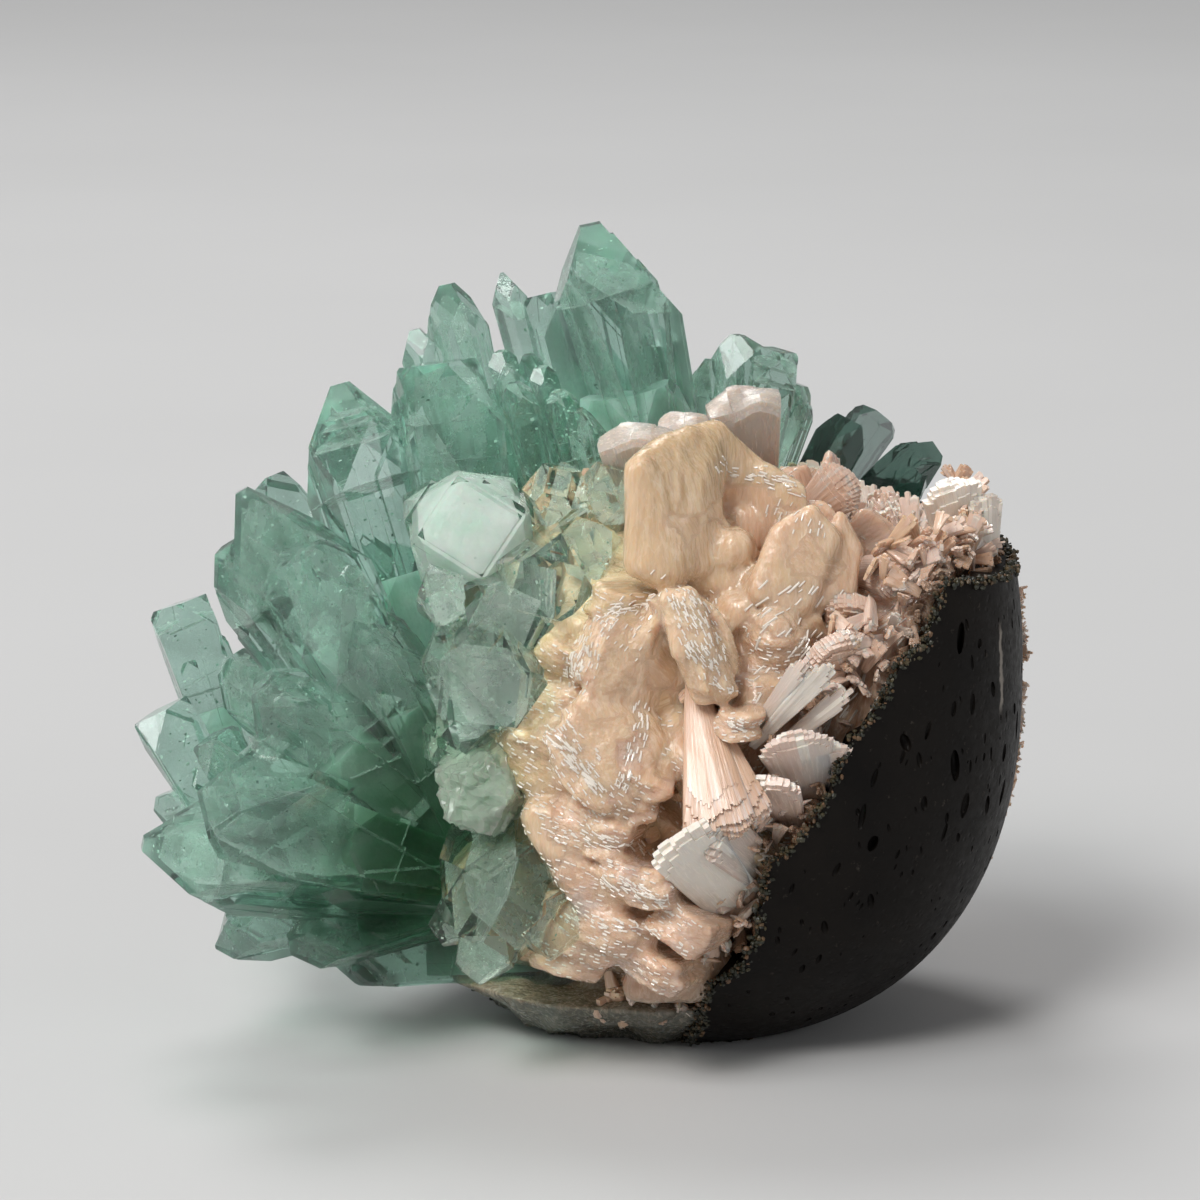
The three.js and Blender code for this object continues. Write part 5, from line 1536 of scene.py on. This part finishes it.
def grains(rng, places, low, high):
    """Small uneven lumps, each a jittered icosphere, as one mesh with a tone."""
    bm = bmesh.new()
    bmesh.ops.create_icosphere(bm, subdivisions=1, radius=1.0)
    ball = bm_to_mesh(bm)
    corners = np.array([vertex.co[:] for vertex in ball.vertices])
    sides = np.array([face.vertices[:] for face in ball.polygons])
    count = len(places)
    jitter = np.random.default_rng(rng.randrange(1000))
    size = jitter.uniform(low, high, (count, 1, 1))
    stretch = jitter.uniform(0.6, 1.3, (count, 1, 3))
    uneven = jitter.uniform(0.8, 1.15, (count, len(corners), 1))
    points = np.array([place[:] for place in places])[:, None]
    points = (points + corners * size * stretch * uneven).reshape(-1, 3)
    points[:, 2] = np.maximum(points[:, 2], ground_level(points[:, 0]))
    faces = (np.arange(count)[:, None, None] * len(corners) + sides).reshape(-1, 3)
    mesh = bpy.data.meshes.new("grains")
    mesh.from_pydata(points.tolist(), [], faces.tolist())
    paint(mesh, "tone", np.repeat(jitter.uniform(0, 1, count), len(corners)))
    return mesh


def grain_material():
    nodes = Nodes("rim_grains")
    tone = nodes.attribute("tone")
    colour = nodes.ramp(tone, [(0.0, rgb(0.010, 0.012, 0.006)), (0.45, rgb(0.028, 0.030, 0.012)),
                               (0.7, rgb(0.10, 0.075, 0.025)), (1.0, rgb(0.24, 0.12, 0.055))])
    colour = nodes.mix(nodes.noise(1500.0), rgb(0.02, 0.02, 0.015), colour)
    bumps = nodes.noise(2500.0, detail=3.0)
    shader = nodes.principled(Base_Color=colour, Roughness=nodes.ramp(
        bumps, [(0.3, 0.35), (0.7, 0.6)]), IOR=1.5, Normal=nodes.bump(bumps, 0.4, 0.0001))
    return nodes.finish(shader.outputs[0])


def dress_basalt():
    rng = random.Random(11)
    body = basalt_body(rng)
    places = rim_places(body)
    places = [rng.choice(places) + RIM_NORMAL * rng.uniform(-0.3, 0.7)
              + Vector([rng.gauss(0, 0.2) for _ in range(3)]) for _ in range(GRAIN_COUNT)]
    shape = bmesh.new()
    shape.from_mesh(body)
    nearest = BVHTree.FromBMesh(shape)
    shape.free()
    finish_piece("basalt_ground", body, basalt_material(), "basalt", "basalt_matrix", 35)
    finish_piece("basalt_rim_grains", grains(rng, places, 0.1, 0.36), grain_material(),
                 "basalt", "basalt_matrix")
    return nearest


CRUST_EDGES = [((0, 6.5, 30), (0, -1, 0.12)), ((0, 30, 12.5), (0, -0.05, -1)),
               ((-6, 30, 30), (-1, -0.3, 0.2)), ((30, 20, 50.5), (0.2, -0.1, 1))]


FLAKE = [(x, y * (0.6 if x > 0 else 1), z) for x, y, z in BOX]


def flakes(surface, rng, count, low, high):
    """Tiny plates that stand at all angles out of a surface, each with a tone."""
    items = []
    for place, normal in surface_places(surface, rng):
        if len(items) == count:
            break
        if outline_value(place) < 1.0:
            continue
        along = normal * 0.5 + Vector([rng.gauss(0, 0.6) for _ in range(3)])
        along = (along - normal * min(0, along.dot(normal))).normalized()
        face = along.orthogonal().normalized()
        face.rotate(Matrix.Rotation(rng.uniform(0, 2 * math.pi), 3, along))
        size = rng.uniform(low, high)
        turn = Matrix((along, face.cross(along), face)).transposed().to_4x4()
        shape = Matrix.Diagonal((2 * size, size * rng.uniform(0.5, 1.2), 0.22 * size, 1))
        items.append((Matrix.Translation(place) @ turn @ shape, rng.uniform(0.35, 1.0)))
    return items


def dress_crust():
    """The thin crust of small blades over the back and the right edge of the basalt."""
    rng = random.Random(23)
    material = stilbite_material("stilbite_crust", 0.0005, 0.4)
    bounds = [((52, 0, 0), (1, 0, 0)), ((0, 40, 0), (0, 1, 0))]
    patch = rough(convex([*CRUST_EDGES, *bounds]), 2.0, 3.2, 5.0, 4.0, keep_floor=False)
    shell = boolean(ground_body((0.9, 0.9, 0)), [patch], "INTERSECT")
    wall = convex([((0, 14, 0), (0, 1, 0)), ((40, 0, 0), (1, 0, 0)), ((-40, 0, 0), (-1, 0, 0)),
                   ((0, -40, 0), (0, -1, 0)), ((0, 0, -5), -UP), ((0, 0, 70), UP)])
    shell = rough(boolean(shell, [wall], "DIFFERENCE"), 1.2, 0.7, 2.2, 9.0)
    places = [vertex.co for vertex in shell.vertices]
    paint(shell, "tone", [0.55 + 0.5 * noise.noise(place / 4) for place in places])
    paint(shell, "stain", [max(0.0, 0.7 * noise.noise(place / 7) + 0.25) for place in places])
    wider = [(Vector(point) + 5 * Vector(normal).normalized(), normal)
             for point, normal in CRUST_EDGES]
    around = boolean(ground_body((0.2, 0.2, 0)), [convex([*wider, *bounds])], "INTERSECT")
    plates = flakes(shell, rng, CRUST_FLAKES, 0.3, 0.75)
    plates += flakes(around, rng, EDGE_FLAKES, 0.3, 0.6)
    finish_piece("stilbite_crust_base", shell, material, "stilbite_crust",
                 "stilbite_back_crust", 40)
    finish_piece("stilbite_crust_blades", boxes(plates, FLAKE), material, "stilbite_crust",
                 "stilbite_back_crust")


# ---- The crystals --------------------------------------------------------------------------


def dress_crystals():
    """The grown crystals with their cloudy cores, healed cracks and flecks."""
    green = glass_material("green_apophyllite", (0.60, 0.78, 0.71), (0.22, 0.82, 0.66), 20.0,
                           0.92, (0.80, 0.90, 0.85), wavy=0.06, root=0.8)
    deep = glass_material("deep_green_apophyllite", (0.18, 0.26, 0.23), (0.3, 0.7, 0.58), 90.0,
                          0.9, (0.5, 0.62, 0.57), wavy=0.06)
    clear = glass_material("clear_apophyllite", (0.78, 0.88, 0.81), (0.45, 0.90, 0.74), 7.0,
                           0.975, (0.90, 0.95, 0.92), roughness=0.006, wavy=0.03)
    dark = glass_material("dark_clear_apophyllite", (0.66, 0.74, 0.66), (0.45, 0.86, 0.7), 14.0,
                          0.98, (0.86, 0.92, 0.88), roughness=0.006, wavy=0.03)
    milky = glass_material("milky_apophyllite", (0.66, 0.74, 0.62), (0.5, 0.88, 0.68), 30.0,
                           0.6, (0.80, 0.87, 0.82), roughness=0.08, wavy=0.5)
    rng = random.Random(5)
    spray = [*crystals(FAN, 1, FAN_TAPER), *crystals(TOP, 1, first=len(FAN))]
    clears = crystals(CLEAR, 2)
    milks = crystals(MILKY, 3)
    darks = crystals(DARK_CLEAR, 4)
    upper = crystals(UPPER_RIGHT, 5)
    backs = crystals(BACK_RIGHT, 6)
    groups = [
        ("green_spray", spray, 6, green, "green_apophyllite"),
        ("clear_band", clears, 7, clear, "clear_apophyllite"),
        ("milky_crystal", milks, 14, milky, "milky_apophyllite"),
        ("dark_clear_crystals", darks, 6, dark, "clear_apophyllite"),
        ("upper_right_crystals", upper, 7, green, "pale_green_apophyllite"),
        ("back_right_crystals", backs, 7, deep, "green_apophyllite"),
    ]
    for node, main, extra, material, slot in groups:
        mesh = grown_together(main, extra, 0.04 if material in (clear, dark) else 0.15)
        if main is milks:
            mesh = rough(mesh, 0.6, 0.45, 1.4, keep_floor=False)
        finish_piece(f"{node}_grown", mesh, material, slot, node)
    milk = milk_material("milky_core", (0.44, 0.62, 0.54), (0.78, 0.91, 0.85))
    finish_piece("green_spray_cores", cloudy_cores(spray, rng, 0.42, 0.7), milk,
                 "green_apophyllite", "green_spray")
    # near-white cloudy core of the largest clear crystal: partly a cloudy inside, partly painted
    # light for its bright inner reflections
    bright = milk_material("bright_core", (0.74, 0.86, 0.79), (0.99, 1.0, 0.98), 0.4)
    finish_piece("clear_band_core", cloudy_cores(clears[:1], rng, 0.9, 0.94), bright,
                 "clear_apophyllite", "clear_band")
    veils = veil_material()
    specks = fleck_material()
    for node, main, share, density, slot in (
            ("green_spray", spray, 1.0, 30, "green_apophyllite"),
            ("clear_band", clears, 0.4, 8, "clear_apophyllite"),
            ("milky_crystal", milks, 1.0, 24, "milky_apophyllite"),
            ("dark_clear_crystals", darks, 0.6, 14, "clear_apophyllite"),
            ("upper_right_crystals", upper, 0.8, 24, "pale_green_apophyllite")):
        finish_piece(f"{node}_cracks", healed_cracks(main, rng, share), veils, slot, node)
        finish_piece(f"{node}_flecks", flecks(main, rng, density), specks, slot, node)


dress_crystals()
dress_stilbite(dress_basalt())
dress_crust()

# ---- Floor, light and camera ---------------------------------------------------------------


def make_floor():
    bm = bmesh.new()
    bmesh.ops.create_circle(bm, cap_ends=True, radius=6.0, segments=64)
    mesh = bm_to_mesh(bm, "floor")
    nodes = Nodes("floor")
    tone = nodes.ramp(nodes.noise(3.0), [(0.3, 0.52), (0.7, 0.55)])
    shader = nodes.principled(Base_Color=tone, Roughness=0.75)
    mesh.materials.append(nodes.finish(shader.outputs[0]))
    floor = bpy.data.objects.new("floor", mesh)
    bpy.context.scene.collection.objects.link(floor)


def area_light(name, place, target, size, power, colour=(1, 1, 1)):
    light = bpy.data.lights.new(name, "AREA")
    light.shape = "DISK"
    light.size = size
    light.energy = power
    light.color = colour
    item = bpy.data.objects.new(name, light)
    item.location = place
    item.rotation_euler = (Vector(target) - Vector(place)).to_track_quat("-Z", "Y").to_euler()
    bpy.context.scene.collection.objects.link(item)
    return item


def make_light():
    middle = (0, 0, 0.045)
    area_light("key", (-0.57, -1.06, 1.18), middle, 0.50, 10.6, (1.0, 0.98, 0.95))
    area_light("fill", (1.15, -0.86, 0.57), middle, 0.60, 2.5, (0.97, 0.98, 1.0))
    back = area_light("back", (-0.23, 0.76, 1.14), middle, 0.57, 7.0)
    back.visible_transmission = False
    area_light("side", (-1.18, -0.19, 0.53), middle, 0.46, 4.2)
    sun = bpy.data.lights.new("sun", "SUN")
    sun.energy = 1.25
    sun.angle = math.radians(25)
    item = bpy.data.objects.new("sun", sun)
    item.visible_transmission = False
    item.rotation_euler = Vector((0.45, 0.55, -1.0)).to_track_quat("-Z", "Y").to_euler()
    bpy.context.scene.collection.objects.link(item)
    world = bpy.data.worlds.new("studio")
    bpy.context.scene.world = world
    world.use_nodes = True
    world.node_tree.nodes["Background"].inputs["Color"].default_value = rgb(0.83, 0.83, 0.83)
    world.node_tree.nodes["Background"].inputs["Strength"].default_value = 0.24


def make_camera():
    camera = bpy.data.cameras.new("camera")
    camera.lens = camera.sensor_width * CAMERA_DISTANCE / VIEW_WIDTH
    camera.clip_start = 0.05
    item = bpy.data.objects.new("camera", camera)
    back = Vector((0, -math.cos(CAMERA_ELEVATION), math.sin(CAMERA_ELEVATION)))
    item.location = CAMERA_TARGET + back * CAMERA_DISTANCE
    item.rotation_euler = (-back).to_track_quat("-Z", "Y").to_euler()
    bpy.context.scene.collection.objects.link(item)
    bpy.context.scene.camera = item


make_floor()
make_light()
make_camera()
bpy.context.scene.view_settings.view_transform = "Standard"
bpy.context.scene.cycles.max_bounces = 12
bpy.context.scene.cycles.transmission_bounces = 12
bpy.context.scene.cycles.transparent_max_bounces = 16
